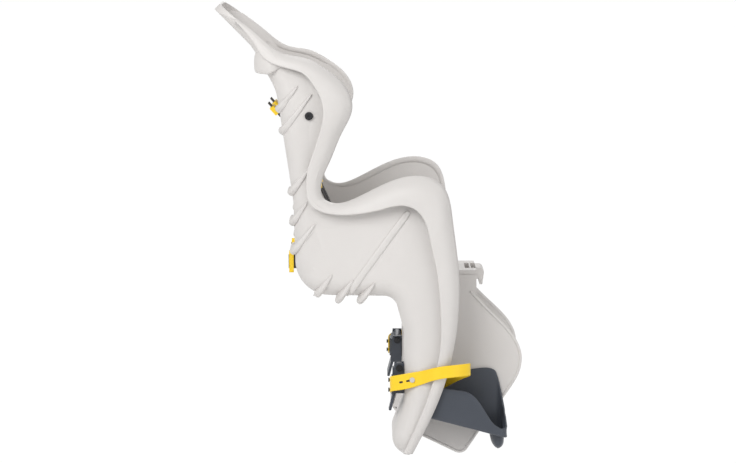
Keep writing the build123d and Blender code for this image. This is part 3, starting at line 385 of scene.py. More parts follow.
spine = [
    (-236.0, 489.0), (-172.0, 425.0), (-130.0, 352.0), (-101.0, 160.0), (-96.0, 0.0), (74.0, 0.0),
    (91.0, -62.0), (91.0, -178.0), (60.0, -258.0), (98.0, -271.0),
]
spine_radii = [70.0, 90.0, 260.0, 60.0, 22.0, 70.0, 40.0, 32.0]
corner = 30.0
back_inner = 58.0
back_whole = 69.5
pan_inner = 112.0
pan_whole = 124.4
fin_lead = 4.0
fin_tail = 7.0
fin_low = 3.3
fin_longest = 16.5
fin_rooted = 2.5
fin_lean = 0.12
fin_turn_gain = 1.1
fin_half_start = 0.6
fin_half_tail = 1.2
fin_half_corner = 5.4
fin_half_faded = 0.3
back_run_least = 3.0
ridge_power = 0.8
ridge_sunk = 0.4
base_side = [-0.9, 0.0, 0.9]
base_sunk = [-2.0, -2.6, -2.0]
fin_sink = 0.3
fin_least = 0.05
fin_zone_x = -45.0
fin_zone_y = 55.0
fin_zone_z = (25.0, 335.0)
lip_room = 40.0
lip_low = 140.0


def rounded(points, radii, count):
    """Runs through the points, each inner corner an arc of its radius tangent to both runs, at even steps."""
    points = np.asarray(points, float)
    line = [points[:1]]
    for before, here, after, radius in zip(points, points[1:], points[2:], radii):
        back = unit(before - here)
        ahead = unit(after - here)
        half = np.arccos(back @ ahead) / 2
        bisector = unit(back + ahead)
        across = unit(ahead - bisector * (ahead @ bisector))
        sweep = np.linspace(half - np.pi / 2, np.pi / 2 - half, 30)[:, None]
        centre = here + bisector * radius / np.sin(half)
        line.append(centre - radius * (np.cos(sweep) * bisector - np.sin(sweep) * across))
    line = np.concatenate([*line, points[-1:]])
    travel = chords(line)
    even = np.linspace(0, travel[-1], count)
    return np.stack([np.interp(even, travel, line[:, 0]), np.interp(even, travel, line[:, 1])], axis=1)


def spine_gap(places):
    """Distance of points (x, z) from the outline of the shell's back."""
    return np.linalg.norm(places[:, None] - spine_line[None], axis=2).min(axis=1)


def side_y(places):
    """Y of the right side: r - half-width - sqrt(r^2 - (r - d)^2), at d from the outline, with corner r."""
    short = corner - np.minimum(spine_gap(places), corner)
    return corner - half_width(*places.T) - np.sqrt(corner ** 2 - short ** 2)


def outside(flat):
    """Distance of points (x, z) beyond the back outline, and the outward normal (tz, -tx) nearest to them."""
    gap = flat[:, None] - spine_line[None, ::2]
    near = (gap ** 2).sum(axis=2).argmin(axis=1)
    along = unit(np.gradient(spine_line[::2], axis=0))[near]
    normal = np.stack([along[:, 1], -along[:, 0]], axis=1)
    return (gap[np.arange(len(near)), near] * normal).sum(axis=1), normal


def without_fins(points):
    """Points of the shell's back with the solid's plain fins drawn in, and the normals there.

    A point beyond the outline goes back along its fin's own line, and sinks in a little. Then |y| stays
    within half-width - r + sqrt(r^2 - (r - d)^2) at the depth d inside the outline and corner radius r.
    """
    flat = points[:, ::2]
    lines = np.array(solid_fins)
    slants = unit(lines[:, 1] - lines[:, 0])
    offset = flat[:, None] - lines[None, :, 0]
    slant = slants[np.abs(offset[..., 0] * slants[:, 1] - offset[..., 1] * slants[:, 0]).argmin(axis=1)]
    stood = outside(flat)[0] > fin_least
    for _ in range(3):
        out, normal = outside(flat)
        flat = flat - (np.clip(out, 0, None) / (slant * normal).sum(axis=1))[:, None] * slant
    flat = flat - fin_sink * stood[:, None] * normal
    out, normal = outside(flat)
    short = corner - np.clip(-out, 0, corner)
    width = half_width(*flat.T)
    limit = width - corner + np.sqrt(corner ** 2 - short ** 2)
    limit += lip_room * ((short == 0) & (points[:, 2] > lip_low))
    y = np.clip(points[:, 1], -limit, limit)
    turned = np.clip((np.abs(y) - width + corner) / corner, 0, 1)
    facing = np.sqrt(1 - turned ** 2)
    normal = np.stack([normal[:, 0] * facing, np.sign(y) * turned, normal[:, 1] * facing], axis=1)
    return np.stack([flat[:, 0], y, flat[:, 1]], axis=1), normal


def bell(reach, spread):
    """Weights exp(-(i / spread)^2 / 2) for i from -reach to reach, divided by their sum."""
    weights = np.exp(-0.5 * (np.arange(-reach, reach + 1) / spread) ** 2)
    return weights / weights.sum()


def wrapped(high, low, inner):
    """Path of a fin at even steps: down the side from high towards low, round the corner, and in to inner.

    Also its run along the side, the direction of that line, the fin's rise, and how far the line goes on
    beyond the back. The rise is the normal of the path in the plane of the line and Y, averaged with bell
    weights.
    """
    high = np.array(high)
    full = np.linalg.norm(np.array(low) - high)
    slant = (np.array(low) - high) / full
    probe = np.linspace(0, full, 900)
    meet = probe[spine_gap(high + probe[:, None] * slant).argmin()]
    run = np.concatenate([[-fin_lead], meet * np.sin(np.linspace(0, np.pi / 2, 500))])
    level = side_y(high + run[:, None] * slant)
    level[-1] = corner - half_width(*(high + meet * slant))
    end = -min(inner, -level[-1] - back_run_least)
    trail = np.stack([np.append(run, meet), np.append(level, end)], axis=1)
    travel = chords(trail)
    even = np.linspace(0, travel[-1], 110)
    run = np.interp(even, travel, trail[:, 0])
    level = np.interp(even, travel, trail[:, 1])
    speed = np.pad(np.stack([np.gradient(run), np.gradient(level)], axis=1), ((6, 6), (0, 0)), mode="edge")
    speed = unit(np.stack([np.convolve(column, bell(6, 2.5), "valid") for column in speed.T], axis=1))
    line = np.array((slant[0], 0.0, slant[1]))
    path = np.array((high[0], 0.0, high[1])) + run[:, None] * line + level[:, None] * sideways
    return path, run, line, speed[:, 1:2] * line - speed[:, :1] * sideways, full - meet


def ridge(path, across, rise, half, height, lean):
    """Rings over a path: a blunt ridge that leans across, on a base sunk into the wall.

    With t from 0 to pi and p = ridge_power it reaches half (sign(cos t) |cos t|^p + lean sin t) across, and
    stands height sin^p t high.
    """
    turn = np.linspace(0, np.pi, 17)
    spread = np.sign(np.cos(turn)) * np.abs(np.cos(turn)) ** ridge_power + lean * np.sin(turn)
    side = np.concatenate([spread, base_side])
    lift = np.concatenate([np.sin(turn) ** ridge_power, np.zeros(len(base_side))])
    sunk = np.concatenate([np.full(len(turn), -ridge_sunk), base_sunk])
    rings = path[:, None] + across * (side[None, :, None] * half[:, None, None])
    return rings + rise[:, None] * (lift * height[:, None] + sunk)[..., None]


def fin(high, low, inner, whole):
    """Rings of a fin: low and narrow up the side, broad and high round the corner, and faded out on the back.

    Its height is (fin_low tail + (what its line reaches beyond the back, less fin_rooted) turned) fade.
    """
    path, run, line, rise, beyond = wrapped(high, low, inner)
    reached = -path[-1, 1]
    fade = smooth((-path[:, 1] - reached) / (whole - reached))
    tail = smooth((run + fin_lead) / fin_tail)
    turned = smooth(np.clip(rise @ line, 0, 1) * fin_turn_gain)
    height = (fin_low * tail + (min(beyond, fin_longest) - fin_rooted) * turned) * fade
    half = fin_half_start + fin_half_tail * tail + fin_half_corner * np.clip(run, 0, None) / run.max()
    half = half * (fin_half_faded + (1 - fin_half_faded) * fade)
    return ridge(path, np.array((-line[2], 0.0, line[0])), rise, half, height, fin_lean)


spine_line = rounded(spine, spine_radii, 1500)
points = read(shell.data.vertices, "co", 3).astype(float) * 1000
fin_zone = (points[:, 2] > fin_zone_z[0]) & (points[:, 2] < fin_zone_z[1])
fin_zone &= (points[:, 0] < fin_zone_x) & (np.abs(points[:, 1]) > fin_zone_y)
drawn_in, facing = without_fins(points[fin_zone])
moved = np.zeros(len(points), bool)
moved[fin_zone] = np.abs(drawn_in - points[fin_zone]).max(axis=1) > fin_least
points[fin_zone] = drawn_in
vertex_normals = np.zeros((len(points), 3))
vertex_normals[fin_zone] = facing
shell.data.vertices.foreach_set("co", (points / 1000).astype(np.float32).ravel())
shell.data.update()
corner_vertex = read(shell.data.loops, "vertex_index", 1, np.int32)[:, 0]
redone = moved[corner_vertex].reshape(-1, 3).any(axis=1).repeat(3) & fin_zone[corner_vertex]
shading[redone] = vertex_normals[corner_vertex][redone]
shell.data.normals_split_custom_set(shading.tolist())
fin_rings = [fin(high, low, back_inner, back_whole) for high, low in back_fins]
fin_rings += [fin(high, low, pan_inner, pan_whole) for high, low in pan_fins]
tube_pair("shell_fins", fin_rings, shell_grey, "seat")

# Behind the headrest the shell is thicker: a brow stands out across the back below the head, and ends in a
# step. It is moulded in one with the shell, and stiffens the root of the headrest.
brow_side = (-112.0, 402.0)
brow_back = (-190.0, 404.0)
brow_past_middle = 0.5
brow_tail = 36.0
brow_half = (4.0, 17.0)
brow_height = (1.0, 8.0)
brow_lean = 0.35
brow_path, brow_run, _, brow_rise, _ = wrapped(brow_side, brow_back, -brow_past_middle)
grown = smooth((brow_run + fin_lead) / brow_tail)
downwards = np.array((0.0, 0.0, -1.0))
brow_rings = ridge(
    brow_path, downwards, brow_rise, brow_half[0] + brow_half[1] * grown,
    brow_height[0] + brow_height[1] * grown, brow_lean,
)
tube_pair("shell_brow", [brow_rings], shell_grey, "seat")

# A raised fold runs down each side of the shell, from the arm to the front of the pan.
# It is moulded into the wall, and stiffens its widest flat face.
fold_top = np.array((100.0, 152.5))
fold_foot = np.array((-10.0, 2.5))
fold_end_share = 0.07
fold_half = (3.0, 3.2)
fold_height = 3.2
fold_lean = 0.1
fold_share = np.linspace(0, 1, 70)
fold_places = fold_top + fold_share[:, None] * (fold_foot - fold_top)
fold_path = np.stack([fold_places[:, 0], side_y(fold_places), fold_places[:, 1]], axis=1)
fold_slant = unit(fold_foot - fold_top)
fold_ends = smooth(fold_share / fold_end_share) * smooth((1 - fold_share) / fold_end_share)
fold_rings = ridge(
    fold_path, np.array((-fold_slant[1], 0.0, fold_slant[0])), np.tile(-sideways, (len(fold_path), 1)),
    fold_half[0] + fold_half[1] * fold_ends, fold_height * fold_ends, fold_lean,
)
tube_pair("shell_fold", [fold_rings], shell_grey, "seat")

# Each guard panel between a leg and the wheel ends in a rounded bead along its front and its lower edge.
# The bead is moulded on, and leaves no sharp edge beside the child's foot.
leg_lean = np.arctan(0.15)
leg_half = 51.81
leg_centre = 102.39
panel_front = [
    (208.0, 2.0), (243.0, -35.0), (282.0, -77.0), (296.0, -112.0), (290.0, -144.0), (275.0, -169.0),
    (222.0, -243.0),
]
panel_low = [(222.0, -243.0), (194.0, -284.0), (120.0, -249.0)]
panel_corner = 14.0
bead_radius = 3.0


def from_leg(places):
    """Points (x, across, up) of the right leg's frame in the seat's frame: turned about X by the lean."""
    x, across, up = np.moveaxis(np.asarray(places, float), -1, 0)
    y = across * np.cos(leg_lean) + up * np.sin(leg_lean) - leg_centre
    return np.stack([x, y, up * np.cos(leg_lean) - across * np.sin(leg_lean)], axis=-1)


def bead(outline):
    """Rings of a round bead along an outline (x, up) in the panel's wall: radius times cos t and sin t."""
    turn = np.linspace(0, 2 * np.pi, 14, endpoint=False)
    along = unit(np.gradient(outline, axis=0))
    aside = np.stack([-along[:, 1], along[:, 0]], axis=1)
    flat = outline[:, None] + bead_radius * np.cos(turn)[None, :, None] * aside[:, None]
    depth = np.broadcast_to(leg_half - wall / 2 + bead_radius * np.sin(turn), flat.shape[:2])
    return from_leg(np.stack([flat[..., 0], depth, flat[..., 1]], axis=-1))


panel_knots = chords(panel_front)
panel_curve = through(panel_knots, panel_front, np.linspace(0, panel_knots[-1], 120))
panel_edge = np.concatenate([panel_curve, rounded(panel_low, [panel_corner], 60)[1:]])
tube_pair("shell_bead", [bead(panel_edge)], shell_grey, "seat")

# Black socket screws clamp the head wings, each into a barrel nut with a wide flange inside the shell.
# They are steel with a black oxide finish, a little worn on the rims.
black_steel, shader, place, edges = new_finish("black_steel", rounding=0.0004)
wear = place.noise(scale=900.0, detail=4.0, roughness=0.7)
(wear * wear * wear).blend((0.022, 0.022, 0.024), (0.11, 0.11, 0.118)).feed(shader.inputs["Base Color"])
(0.28 + 0.3 * wear).feed(shader.inputs["Roughness"])
shader.inputs["Metallic"].default_value = 0.6
edges.feed(shader.inputs["Normal"])
dress(black_steel, *pair("side_screw", "barrel_nut", "lever_pin"))

# The footrests and the clips behind the legs are moulded in blue-grey plastic with a satin surface.
# The same plastic makes the rollers, the buckle with its tongues, and the stop of the crotch strap.
dark_grey = moulded(
    "dark_plastic", dark=(0.046, 0.053, 0.067), light=(0.074, 0.083, 0.102), roughness=0.36, grain=0.0006,
    depth=0.00004, rounding=0.0016,
)
dress(dark_grey, *pair("clip_bracket", "release_lever", "adjuster_roller", "buckle_tongue"))
dress(dark_grey, "crotch_retainer", "buckle_rear", "buckle_front")

# Each footrest is a tray with rounded edges: a low outer wall that sweeps down to the toe, a high inner wall,
# a scooped toe with a tongue below it, a ribbed sole, and a neck that passes through the slot in the leg.
# It is one moulding, and the clip behind the leg holds it by its neck.
heel_x = 96.5
toe_x = 268.0
heel_round = 26.5
toe_round = 16.0
tray_half = 44.31
tray_wall = 3.5
sole_heel = -197.0
sole_slope = 0.258
sole_thickness = 5.0
base_round = 2.5
floor_round = 3.0
least_wall = 0.5
outer_top = [
    (96.0, -140.0), (152.0, -160.0), (190.0, -164.0), (206.0, -168.0), (218.0, -180.0), (229.0, -199.0),
    (238.0, -218.0), (248.0, -228.0), (270.0, -231.0),
]
inner_top = [
    (96.0, -140.0), (160.0, -148.0), (204.0, -135.0), (238.0, -131.0), (254.0, -134.0), (263.0, -143.0),
    (268.0, -156.0),
]
toe_top = [
    (-45.0, -231.0), (-22.0, -222.0), (0.0, -212.0), (26.0, -207.0), (35.0, -196.0), (41.0, -172.0),
    (45.0, -154.0),
]
side_blend = 16.0
toe_start = 250.0
toe_blend = 15.0
scoop_depth = 3.5
scoop_start = 258.0
scoop_blend = 9.0
scoop_margin = 8.0
scoop_fade = 14.0
tongue_x = 251.0
tongue_forward = 3.0
tongue_half_x = 14.0
tongue_half_y = 22.0
tongue_narrows = 5.0
tongue_level_x = 253.0
tongue_rooted = 2.0
tongue_depth = 29.0
tongue_straight = 0.55
tongue_tip = 0.98
rib_first = 126.5
rib_pitch = 9.0
rib_count = 12
rib_section = [(0.0, 0.1), (0.4, 1.6), (2.6, 1.6), (3.0, 0.1)]
rib_half = 37.3
rib_sunk = 0.5
neck_ends = (82.0, 90.0, 100.0)
neck_half_y = 6.0
neck_half_z = 9.0
neck_z = -157.0
neck_power = 0.25


def sole(x):
    """Height of the sole, which falls by sole_slope towards the toe."""
    return sole_heel - sole_slope * (x - heel_x)


def quarter(centre, radius, start):
    """Points and outward normals of a quarter circle from an angle in quarter turns."""
    turn = (start + np.linspace(0, 1, 16)) * np.pi / 2
    normal = np.stack([np.cos(turn), np.sin(turn)], axis=1)
    return np.array(centre) + radius * normal, normal


def tray_plan():
    """Outline of the tray from above, and its outward normals: straight runs with quarter circles between."""
    heel = heel_x + heel_round
    toe = toe_x - toe_round
    arcs = [
        quarter((heel, heel_round - tray_half), heel_round, 2),
        quarter((toe, toe_round - tray_half), toe_round, 3),
        quarter((toe, tray_half - toe_round), toe_round, 0),
        quarter((heel, tray_half - heel_round), heel_round, 1),
    ]
    share = np.linspace(0, 1, 34)[1:-1, None]
    places = []
    normals = []
    for (arc, normal), (following, _) in zip(arcs, arcs[1:] + arcs[:1]):
        places += [arc, arc[-1] + share * (following[0] - arc[-1])]
        normals += [normal, np.repeat(normal[-1:], len(share), axis=0)]
    return np.concatenate(places), np.concatenate(normals)


def wall_top(x, y):
    """Height of the wall round the tray: outer and inner profile over x, and at the toe one over y.

    They run into each other, and are then averaged with bell weights, so that the top has no kinks.
    """
    outer, inner = [np.interp(x, *np.transpose(profile)) for profile in (outer_top, inner_top)]
    top = outer + smooth((y + side_blend / 2) / side_blend) * (inner - outer)
    top += smooth((x - toe_start) / toe_blend) * (np.interp(y, *np.transpose(toe_top)) - top)
    return np.convolve(np.pad(top, 5, mode="wrap"), bell(5, 2.2), "valid")


def tray():
    """Rings of the tray from its base up the outside, over the round rim and down the inside to the sole.

    A ring is the plan less an inset along its normals. The toe's wall is set in by scoop sin(pi s) at the
    share s of its height.
    """
    plan, normals = tray_plan()
    x, y = plan.T
    top = wall_top(x, y)
    floor = sole(x)
    base = floor - sole_thickness
    scoop = scoop_depth * smooth((x - scoop_start) / scoop_blend)
    scoop = scoop * smooth((tray_half - scoop_margin - np.abs(y)) / scoop_fade)
    rim = tray_wall / 2
    insets = []
    levels = []
    for turn in np.linspace(0, np.pi / 2, 4):
        insets.append(base_round * (1 - np.sin(turn)))
        levels.append(base + base_round * (1 - np.cos(turn)))
    for share in np.linspace(0.1, 1, 8):
        insets.append(scoop * np.sin(np.pi * share))
        levels.append(base + base_round + share * (top - rim - base - base_round))
    for turn in np.linspace(0, np.pi, 7)[1:]:
        insets.append(rim * (1 - np.cos(turn)))
        levels.append(top - rim + rim * np.sin(turn))
    for share in np.linspace(0.9, 0, 8):
        insets.append(tray_wall + scoop * np.sin(np.pi * share))
        levels.append(floor + floor_round + share * np.maximum(top - rim - floor - floor_round, least_wall))
    for turn in np.linspace(0, np.pi / 2, 4)[1:]:
        insets.append(tray_wall + floor_round * (1 - np.cos(turn)))
        levels.append(floor + floor_round * (1 - np.sin(turn)))
    insets = np.stack([np.broadcast_to(inset, x.shape) for inset in insets])
    flat = plan - normals * insets[..., None]
    return np.concatenate([flat, np.stack(levels)[..., None]], axis=-1)


def tongue():
    """Rings of the tongue from the sole down: ellipses that narrow with the drop, and close in a round tip.

    The drop is sin t from 0 to 1. At the share u below the straight part they shrink by sqrt(1 - u^2).
    """
    turn = np.linspace(0, 2 * np.pi, 28, endpoint=False)
    drop = np.sin(np.linspace(0, np.pi / 2, 12))[:, None]
    below = np.clip((drop - tongue_straight) / (1 - tongue_straight), 0, tongue_tip)
    taper = np.sqrt(1 - below ** 2)
    x = tongue_x + tongue_forward * drop + (tongue_half_x - tongue_narrows * drop) * taper * np.cos(turn)
    y = (tongue_half_y - tongue_narrows * drop) * taper * np.sin(turn)
    level = sole(tongue_level_x)
    slope = (1 - drop) * (sole(tongue_x + tongue_half_x * np.cos(turn)) - level)
    return np.stack([x, y, level - tongue_rooted - tongue_depth * drop + slope], axis=-1)


def tread():
    """Rings of the ribs across the sole: one strip whose top repeats the section of a rib at each pitch."""
    section_x, section_z = np.transpose(rib_section)
    x = rib_first + np.add.outer(rib_pitch * np.arange(rib_count), section_x).ravel()
    rise = np.tile(section_z, rib_count)
    edges = [
        np.stack([x, np.full(len(x), side * rib_half), sole(x) + lift], axis=-1)
        for side, lift in ((-1, -rib_sunk), (1, -rib_sunk), (1, rise), (-1, rise))
    ]
    return np.stack(edges, axis=1)


def neck():
    """Rings of the neck along x: an oblong with y and z as the signed powers |cos t|^p and |sin t|^p."""
    turn = np.linspace(0, 2 * np.pi, 28, endpoint=False)
    y = neck_half_y * np.sign(np.cos(turn)) * np.abs(np.cos(turn)) ** neck_power
    z = neck_half_z * np.sign(np.sin(turn)) * np.abs(np.sin(turn)) ** neck_power + neck_z
    return np.stack([np.stack([np.full(len(turn), x), y, z], axis=1) for x in neck_ends])


tray_parts = [from_leg(part()) for part in (tray, tongue, tread, neck)]
tread_number = 2
trays = tube_pair("footrest_tray", tray_parts, dark_grey, "foot_{}", sharp=(tread_number,))
for tray_piece, node in zip(trays, pair("footrest")):
    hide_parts(node)

# A zinc-plated screw with a cross recess holds each clip to the neck of its footrest.
# Its head is turned, so the plating shows fine rings of brightness.
zinc_steel, shader, place, edges = new_finish("zinc_steel", rounding=0.0003)
stretched = place.node("ShaderNodeMapping", {}, {"Vector": place, "Scale": (1.0, 8.0, 8.0)})
brushed = stretched.noise(scale=700.0, detail=4.0)
brushed.blend((0.42, 0.42, 0.43), (0.62, 0.62, 0.6)).feed(shader.inputs["Base Color"])
(0.25 + 0.2 * brushed).feed(shader.inputs["Roughness"])
shader.inputs["Metallic"].default_value = 1.0
edges.feed(shader.inputs["Normal"])
dress(zinc_steel, *pair("clip_screw"))

# Foot straps are soft yellow rubber with rounded edges. Each starts on two pegs behind the leg, passes round
# the outside of the leg and its lip, and loops back over the foot to the inner wall of the tray.
# Two slots beside the stud, for setting the length, are not cut: painted shade in the finish stands in for
# the dark clip and the shade seen through them.
strap_points = [
    (67.0, -18.8, -157.0), (67.0, -26.0, -155.5), (67.0, -33.5, -154.0), (70.0, -41.5, -152.0),
    (79.0, -47.5, -150.0), (91.0, -51.8, -147.5), (104.0, -54.3, -144.5), (121.0, -57.0, -140.0),
    (138.0, -69.2, -134.0), (156.0, -73.8, -130.0), (176.0, -71.2, -128.0), (192.0, -62.0, -127.0),
    (201.5, -50.0, -127.0), (202.0, -38.0, -129.0), (192.0, -24.0, -134.0), (172.0, -3.0, -146.0),
    (154.0, 19.0, -159.0), (142.0, 33.0, -168.0), (131.0, 37.4, -173.0), (119.0, 38.2, -175.0),
]
strap_thickness = 2.4
strap_wide = 26.0
strap_narrow = 21.0
narrows_from_point = 5
narrows_to_point = 8
slot_places = (0.0415, 0.0540)
slot_half_across = 0.0018
slot_half_along = 0.0033
# Colour of the painted shade that stands in for the open slots.
painted_slot_shade = (0.03, 0.026, 0.02)


def on_strap(wire):
    """Places on a strap from its UV, in metres: across it from its middle, and along it from its start."""
    uv = wire.node("ShaderNodeUVMap", {"uv_map": "along"}, {})
    return [uv.node("ShaderNodeSeparateXYZ", {}, {0: uv}, output=number) for number in (0, 1)]


def painted_slot_mask(across, along, place):
    """Mask of painted shade: 1 inside a slot at a place along the strap, where (across / a)^4 + (along / b)^4
    < 1, and 0 outside.
    """
    aside = across * (1 / slot_half_across)
    ahead = (along - place) * (1 / slot_half_along)
    aside = aside * aside
    ahead = ahead * ahead
    return across.math("LESS_THAN", aside * aside + ahead * ahead, 1.0)


def band(line, across, width, thickness):
    """Rings of a flat band along a line, and their UVs in metres: across the band, and along it.

    The section is a stadium, square to the line: half-circles of radius thickness / 2 joined by the flats.
    """
    along = unit(np.gradient(line, axis=0))
    across = unit(across - along * (across * along).sum(axis=1, keepdims=True))
    face = np.cross(along, across)
    turn = np.linspace(-np.pi / 2, np.pi / 2, 7)
    flats = np.linspace(1, -1, 15)[1:-1]
    cap = np.cos(turn) * thickness / 2
    level = np.sin(turn) * thickness / 2
    straight = (width - thickness)[:, None] / 2
    side = np.concatenate([straight + cap, straight * flats, -straight - cap, -straight * flats], axis=1)
    flat = np.full(len(flats), thickness / 2)
    lift = np.concatenate([level, flat, -level, -flat])
    rings = line[:, None] + side[..., None] * across[:, None] + lift[None, :, None] * face[:, None]
    uv = np.stack([side, np.broadcast_to(chords(line)[:, None], side.shape)], axis=-1) / 1000
    return rings, uv


rubber = moulded(
    "yellow_rubber", dark=(0.90, 0.58, 0.016), light=(0.98, 0.68, 0.03), roughness=0.42, grain=0.0012,
    depth=0.00002,
)
rubber_colour = rubber.node_tree.nodes["Principled BSDF"].inputs["Base Color"]
plain = Wire(rubber.node_tree, rubber_colour.links[0].from_socket)
across, along = on_strap(plain)
# Painted shade darkens the rubber where the two slots would be open.
marks = sum(painted_slot_mask(across, along, slot_place) for slot_place in slot_places)
marks.blend(plain, painted_slot_shade).feed(rubber_colour)
strap_knots = chords(strap_points)
strap_steps = np.linspace(0, strap_knots[-1], 240)
strap_line = from_leg(through(strap_knots, strap_points, strap_steps))
leg_up = np.broadcast_to(from_leg((0.0, 0.0, 1.0)) - from_leg((0.0, 0.0, 0.0)), strap_line.shape)
narrows_from = strap_knots[narrows_from_point]
narrows_to = strap_knots[narrows_to_point]
narrowed = smooth((strap_steps - narrows_from) / (narrows_to - narrows_from))
strap_width = strap_wide - (strap_wide - strap_narrow) * narrowed
strap_rings, strap_uv = band(strap_line, leg_up, strap_width, strap_thickness)
bands = tube_pair("strap_band", [strap_rings], rubber, "foot_{}", strap_uv)
for strap_piece, node in zip(bands, pair("foot_strap")):
    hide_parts(node)

# Pale studs are snapped through the foot straps, and hold the folded end of the rubber.
# They are smooth plastic with a slight gloss.
stud_pale = moulded(
    "stud_plastic", dark=(0.52, 0.50, 0.48), light=(0.62, 0.60, 0.58), roughness=0.35, grain=0.0006,
    depth=0.00002,
)
dress(stud_pale, *pair("strap_stud"))

# The harness is 25 mm polyester webbing in dark grey, woven with ribs along its length and flat selvedges.
# Shoulder straps come through the back, lap straps through its foot, and the crotch strap through the bridge.
# Their sewn ends meet in the buckle in front of the child.
webbing_width = 25.0
webbing_thickness = 2.0
rib_spacing = 0.0021
pick_spacing = 0.0013
selvedge = 0.0108
webbing_dark = (0.028, 0.026, 0.027)
webbing_light = (0.115, 0.107, 0.106)
weave_depth = 0.0004
buckle_lean = np.radians(23.8)
buckle_x = -4.0
buckle_z = 58.0
upright = np.array((0.0, 0.0, 1.0))
leaning = np.array((-np.sin(buckle_lean), 0.0, np.cos(buckle_lean)))


def from_buckle(across, up, out):
    """A point of the buckle's leaning frame in the seat's frame: turned about Y by the lean, then moved."""
    x = buckle_x - up * np.sin(buckle_lean) + out * np.cos(buckle_lean)
    return (x, across, buckle_z + up * np.cos(buckle_lean) + out * np.sin(buckle_lean))


def wave(place, spacing):
    """(1 + sin(2 pi place / spacing)) / 2."""
    return 0.5 + 0.5 * place.math("SINE", place * (2 * np.pi / spacing))


def strap(points, widths, count):
    """Band of webbing through points, with its width direction given at each of them."""
    knots = chords(points)
    steps = np.linspace(0, knots[-1], count)
    turned = np.stack([np.interp(steps, knots, column) for column in np.asarray(widths, float).T], axis=1)
    return band(through(knots, points, steps), turned, np.full(count, webbing_width), webbing_thickness)


webbing, shader, place, edges = new_finish("webbing")
across, along = on_strap(place)
rib = wave(across, rib_spacing)
pick = wave(along, pick_spacing)
ribbed = across.math("LESS_THAN", across * across, selvedge ** 2)
thread = ribbed * rib * (0.55 + 0.45 * pick) + (1 - ribbed) * (0.35 + 0.3 * pick)
fuzz = place.noise(scale=1500.0, detail=3.0, roughness=0.7)
(0.75 * thread + 0.25 * fuzz).blend(webbing_dark, webbing_light).feed(shader.inputs["Base Color"])
(0.72 + 0.16 * fuzz).feed(shader.inputs["Roughness"])
(thread + 0.2 * fuzz).bump(weave_depth, edges).feed(shader.inputs["Normal"])
shoulder_tail = [
    (-145.0, -40.0, 327.0), (-137.0, -40.0, 318.0), (-129.0, -40.0, 309.0), (-120.5, -40.0, 300.0),
    (-109.5, -40.0, 291.0),
]
tongue_end = np.array(from_buckle(-15.5, 45.7, 2.4))
hang = unit(tongue_end - np.array(shoulder_tail[-1]))
hung = [tuple(np.array(shoulder_tail[-1]) + hang * far) for far in (20.0, 40.0, 80.0)]
shoulder_points = shoulder_tail + hung + [tuple(tongue_end)]
shoulder_widths = [sideways] * 5 + [unit(sideways - hang * hang[1])] * 4
rings, uv = strap(shoulder_points, shoulder_widths, 220)
webs = tube_pair("shoulder_webbing", [rings], webbing, "seat", uv)
lap_points = [
    (-111.0, -62.0, 50.0), (-101.0, -62.0, 50.0), (-94.0, -62.0, 50.0), (-85.0, -63.0, 51.0),
    (-66.0, -62.0, 57.0), (-46.0, -54.0, 70.0), (-32.0, -44.0, 84.0),
    from_buckle(-38.2, 43.8, -2.4), from_buckle(-16.6, 43.8, -2.4),
]
rings, uv = strap(lap_points, [upright] * 4 + [unit(upright + leaning)] + [leaning] * 4, 180)
webs += tube_pair("lap_webbing", [rings], webbing, "seat", uv)
crotch_points = [
    from_buckle(0.0, -21.5, 0.0), from_buckle(0.0, -30.5, 0.0), (38.0, 0.0, 21.0), (64.0, 0.0, 18.5),
    (84.0, 0.0, 20.5), (98.0, 0.0, 20.5), (103.6, 0.0, 15.5), (104.0, 0.0, 9.0), (104.0, 0.0, 3.0),
    (104.0, 0.0, -4.0),
]
rings, uv = strap(crotch_points, [sideways] * 10, 180)
webs += (tube("crotch_webbing", [rings], webbing, "seat", uv),)
for web, node in zip(webs, pair("shoulder_strap", "lap_strap") + ["crotch_strap"]):
    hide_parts(node)

# Adjusters, slides and the buckle's button are yellow acetal, smooth from the mould.
# The slides stop the webbing behind the back, and the adjusters shorten the shoulder straps.
yellow = moulded(
    "yellow_plastic", dark=(0.90, 0.58, 0.018), light=(0.98, 0.70, 0.035), roughness=0.36, grain=0.0009,
    depth=0.00002,
)
dress(yellow, *pair("strap_adjuster", "upper_slide", "lower_slide"), "buckle_button")

# The studio is a wide pale floor below the seat, which hangs as on its carrier, with soft boxes round it.
# The main light comes from the camera's left and above, a weak fill from its right, and one from behind.
# The floor looks white to the camera and in reflections, and still takes the seat's shadow.
floor_drop = 0.12
floor_half = 40.0
floor_tone = 0.9
paper_strength = 1.04
paper_share = 0.94
sky_strength = 0.56
lit_point = (0.03, 0.0, 0.09)
scene = bpy.context.scene
scene.view_settings.view_transform = "Standard"
ground = cad_box[0][2] - floor_drop
floor_corners = [(x * floor_half, y * floor_half, ground) for x, y in ((-1, -1), (1, -1), (1, 1), (-1, 1))]
floor_mesh = bpy.data.meshes.new("floor")
floor_mesh.from_pydata(floor_corners, [], [(0, 1, 2, 3)])
floor = bpy.data.objects.new("floor", floor_mesh)
scene.collection.objects.link(floor)
floor_paint = bpy.data.materials.new("floor")
floor_paint.use_nodes = True
tree = floor_paint.node_tree
paint = tree.nodes["Principled BSDF"]
paint.inputs["Base Color"].default_value = (floor_tone, floor_tone, floor_tone, 1)
paint.inputs["Roughness"].default_value = 0.9
matt = Wire(tree, paint.outputs["BSDF"])
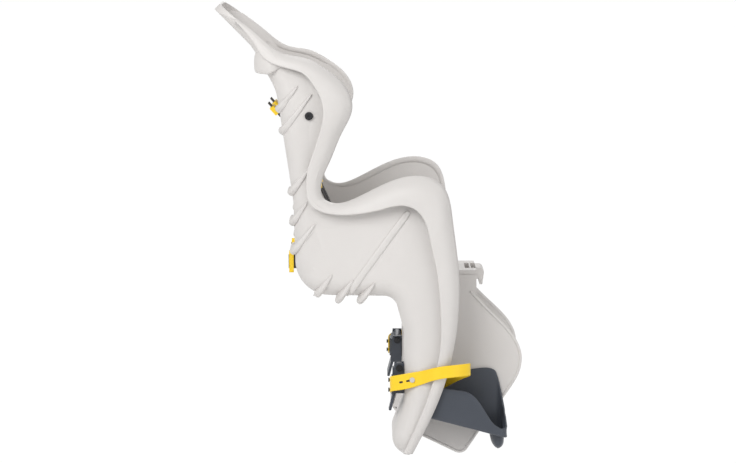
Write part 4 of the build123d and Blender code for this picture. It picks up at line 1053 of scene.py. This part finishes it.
paper = matt.node("ShaderNodeEmission", {}, {"Color": (1, 1, 1, 1), "Strength": paper_strength})
seen = matt.node("ShaderNodeLightPath", {}, {}, output="Is Camera Ray")
glossy = matt.node("ShaderNodeLightPath", {}, {}, output="Is Glossy Ray")
white_share = paper_share * seen.math("MAXIMUM", seen, glossy)
backdrop = matt.node("ShaderNodeMixShader", {}, {0: white_share, 1: matt, 2: paper})
backdrop.feed(tree.nodes["Material Output"].inputs["Surface"])
floor_mesh.materials.append(floor_paint)

world = bpy.data.worlds.new("studio")
scene.world = world
world.use_nodes = True
sky = world.node_tree.nodes["Background"]
sky.inputs["Color"].default_value = (1, 1, 1, 1)
sky.inputs["Strength"].default_value = sky_strength


def lamp(name, place, size, power):
    """Square soft box at a place, aimed at the lit point."""
    light = bpy.data.lights.new(name, "AREA")
    light.size = size
    light.energy = power
    holder = bpy.data.objects.new(name, light)
    scene.collection.objects.link(holder)
    holder.location = place
    aim = np.array(lit_point) - np.array(place)
    holder.rotation_euler = (np.arctan2(np.hypot(aim[0], aim[1]), -aim[2]), 0, np.arctan2(-aim[0], aim[1]))


lamp("key", (-1.3, -2.2, 2.0), size=1.8, power=52.0)
lamp("fill", (2.2, -2.0, 0.9), size=2.0, power=16.0)
lamp("back", (0.2, 2.4, 1.8), size=1.6, power=26.0)

# The camera looks at the seat's right side from a little above, with a long lens.
# Its focal length and tilt are in pixels of the picture.
focal_px = 1950.0
tilt_px = 333.0
image_width_px = 736.0
sensor = 0.036
look_at = np.array((0.028, 0.0, 0.0923))
distance = 3.471
tilt = np.arctan(tilt_px / focal_px)
camera = bpy.data.cameras.new("camera")
camera.sensor_width = 1000 * sensor
camera.lens = 1000 * sensor * focal_px / image_width_px
camera.clip_end = 100.0
tripod = bpy.data.objects.new("camera", camera)
scene.collection.objects.link(tripod)
tripod.location = look_at + distance * np.array((0.0, -np.cos(tilt), np.sin(tilt)))
tripod.rotation_euler = (np.pi / 2 - tilt, 0, 0)
scene.camera = tripod
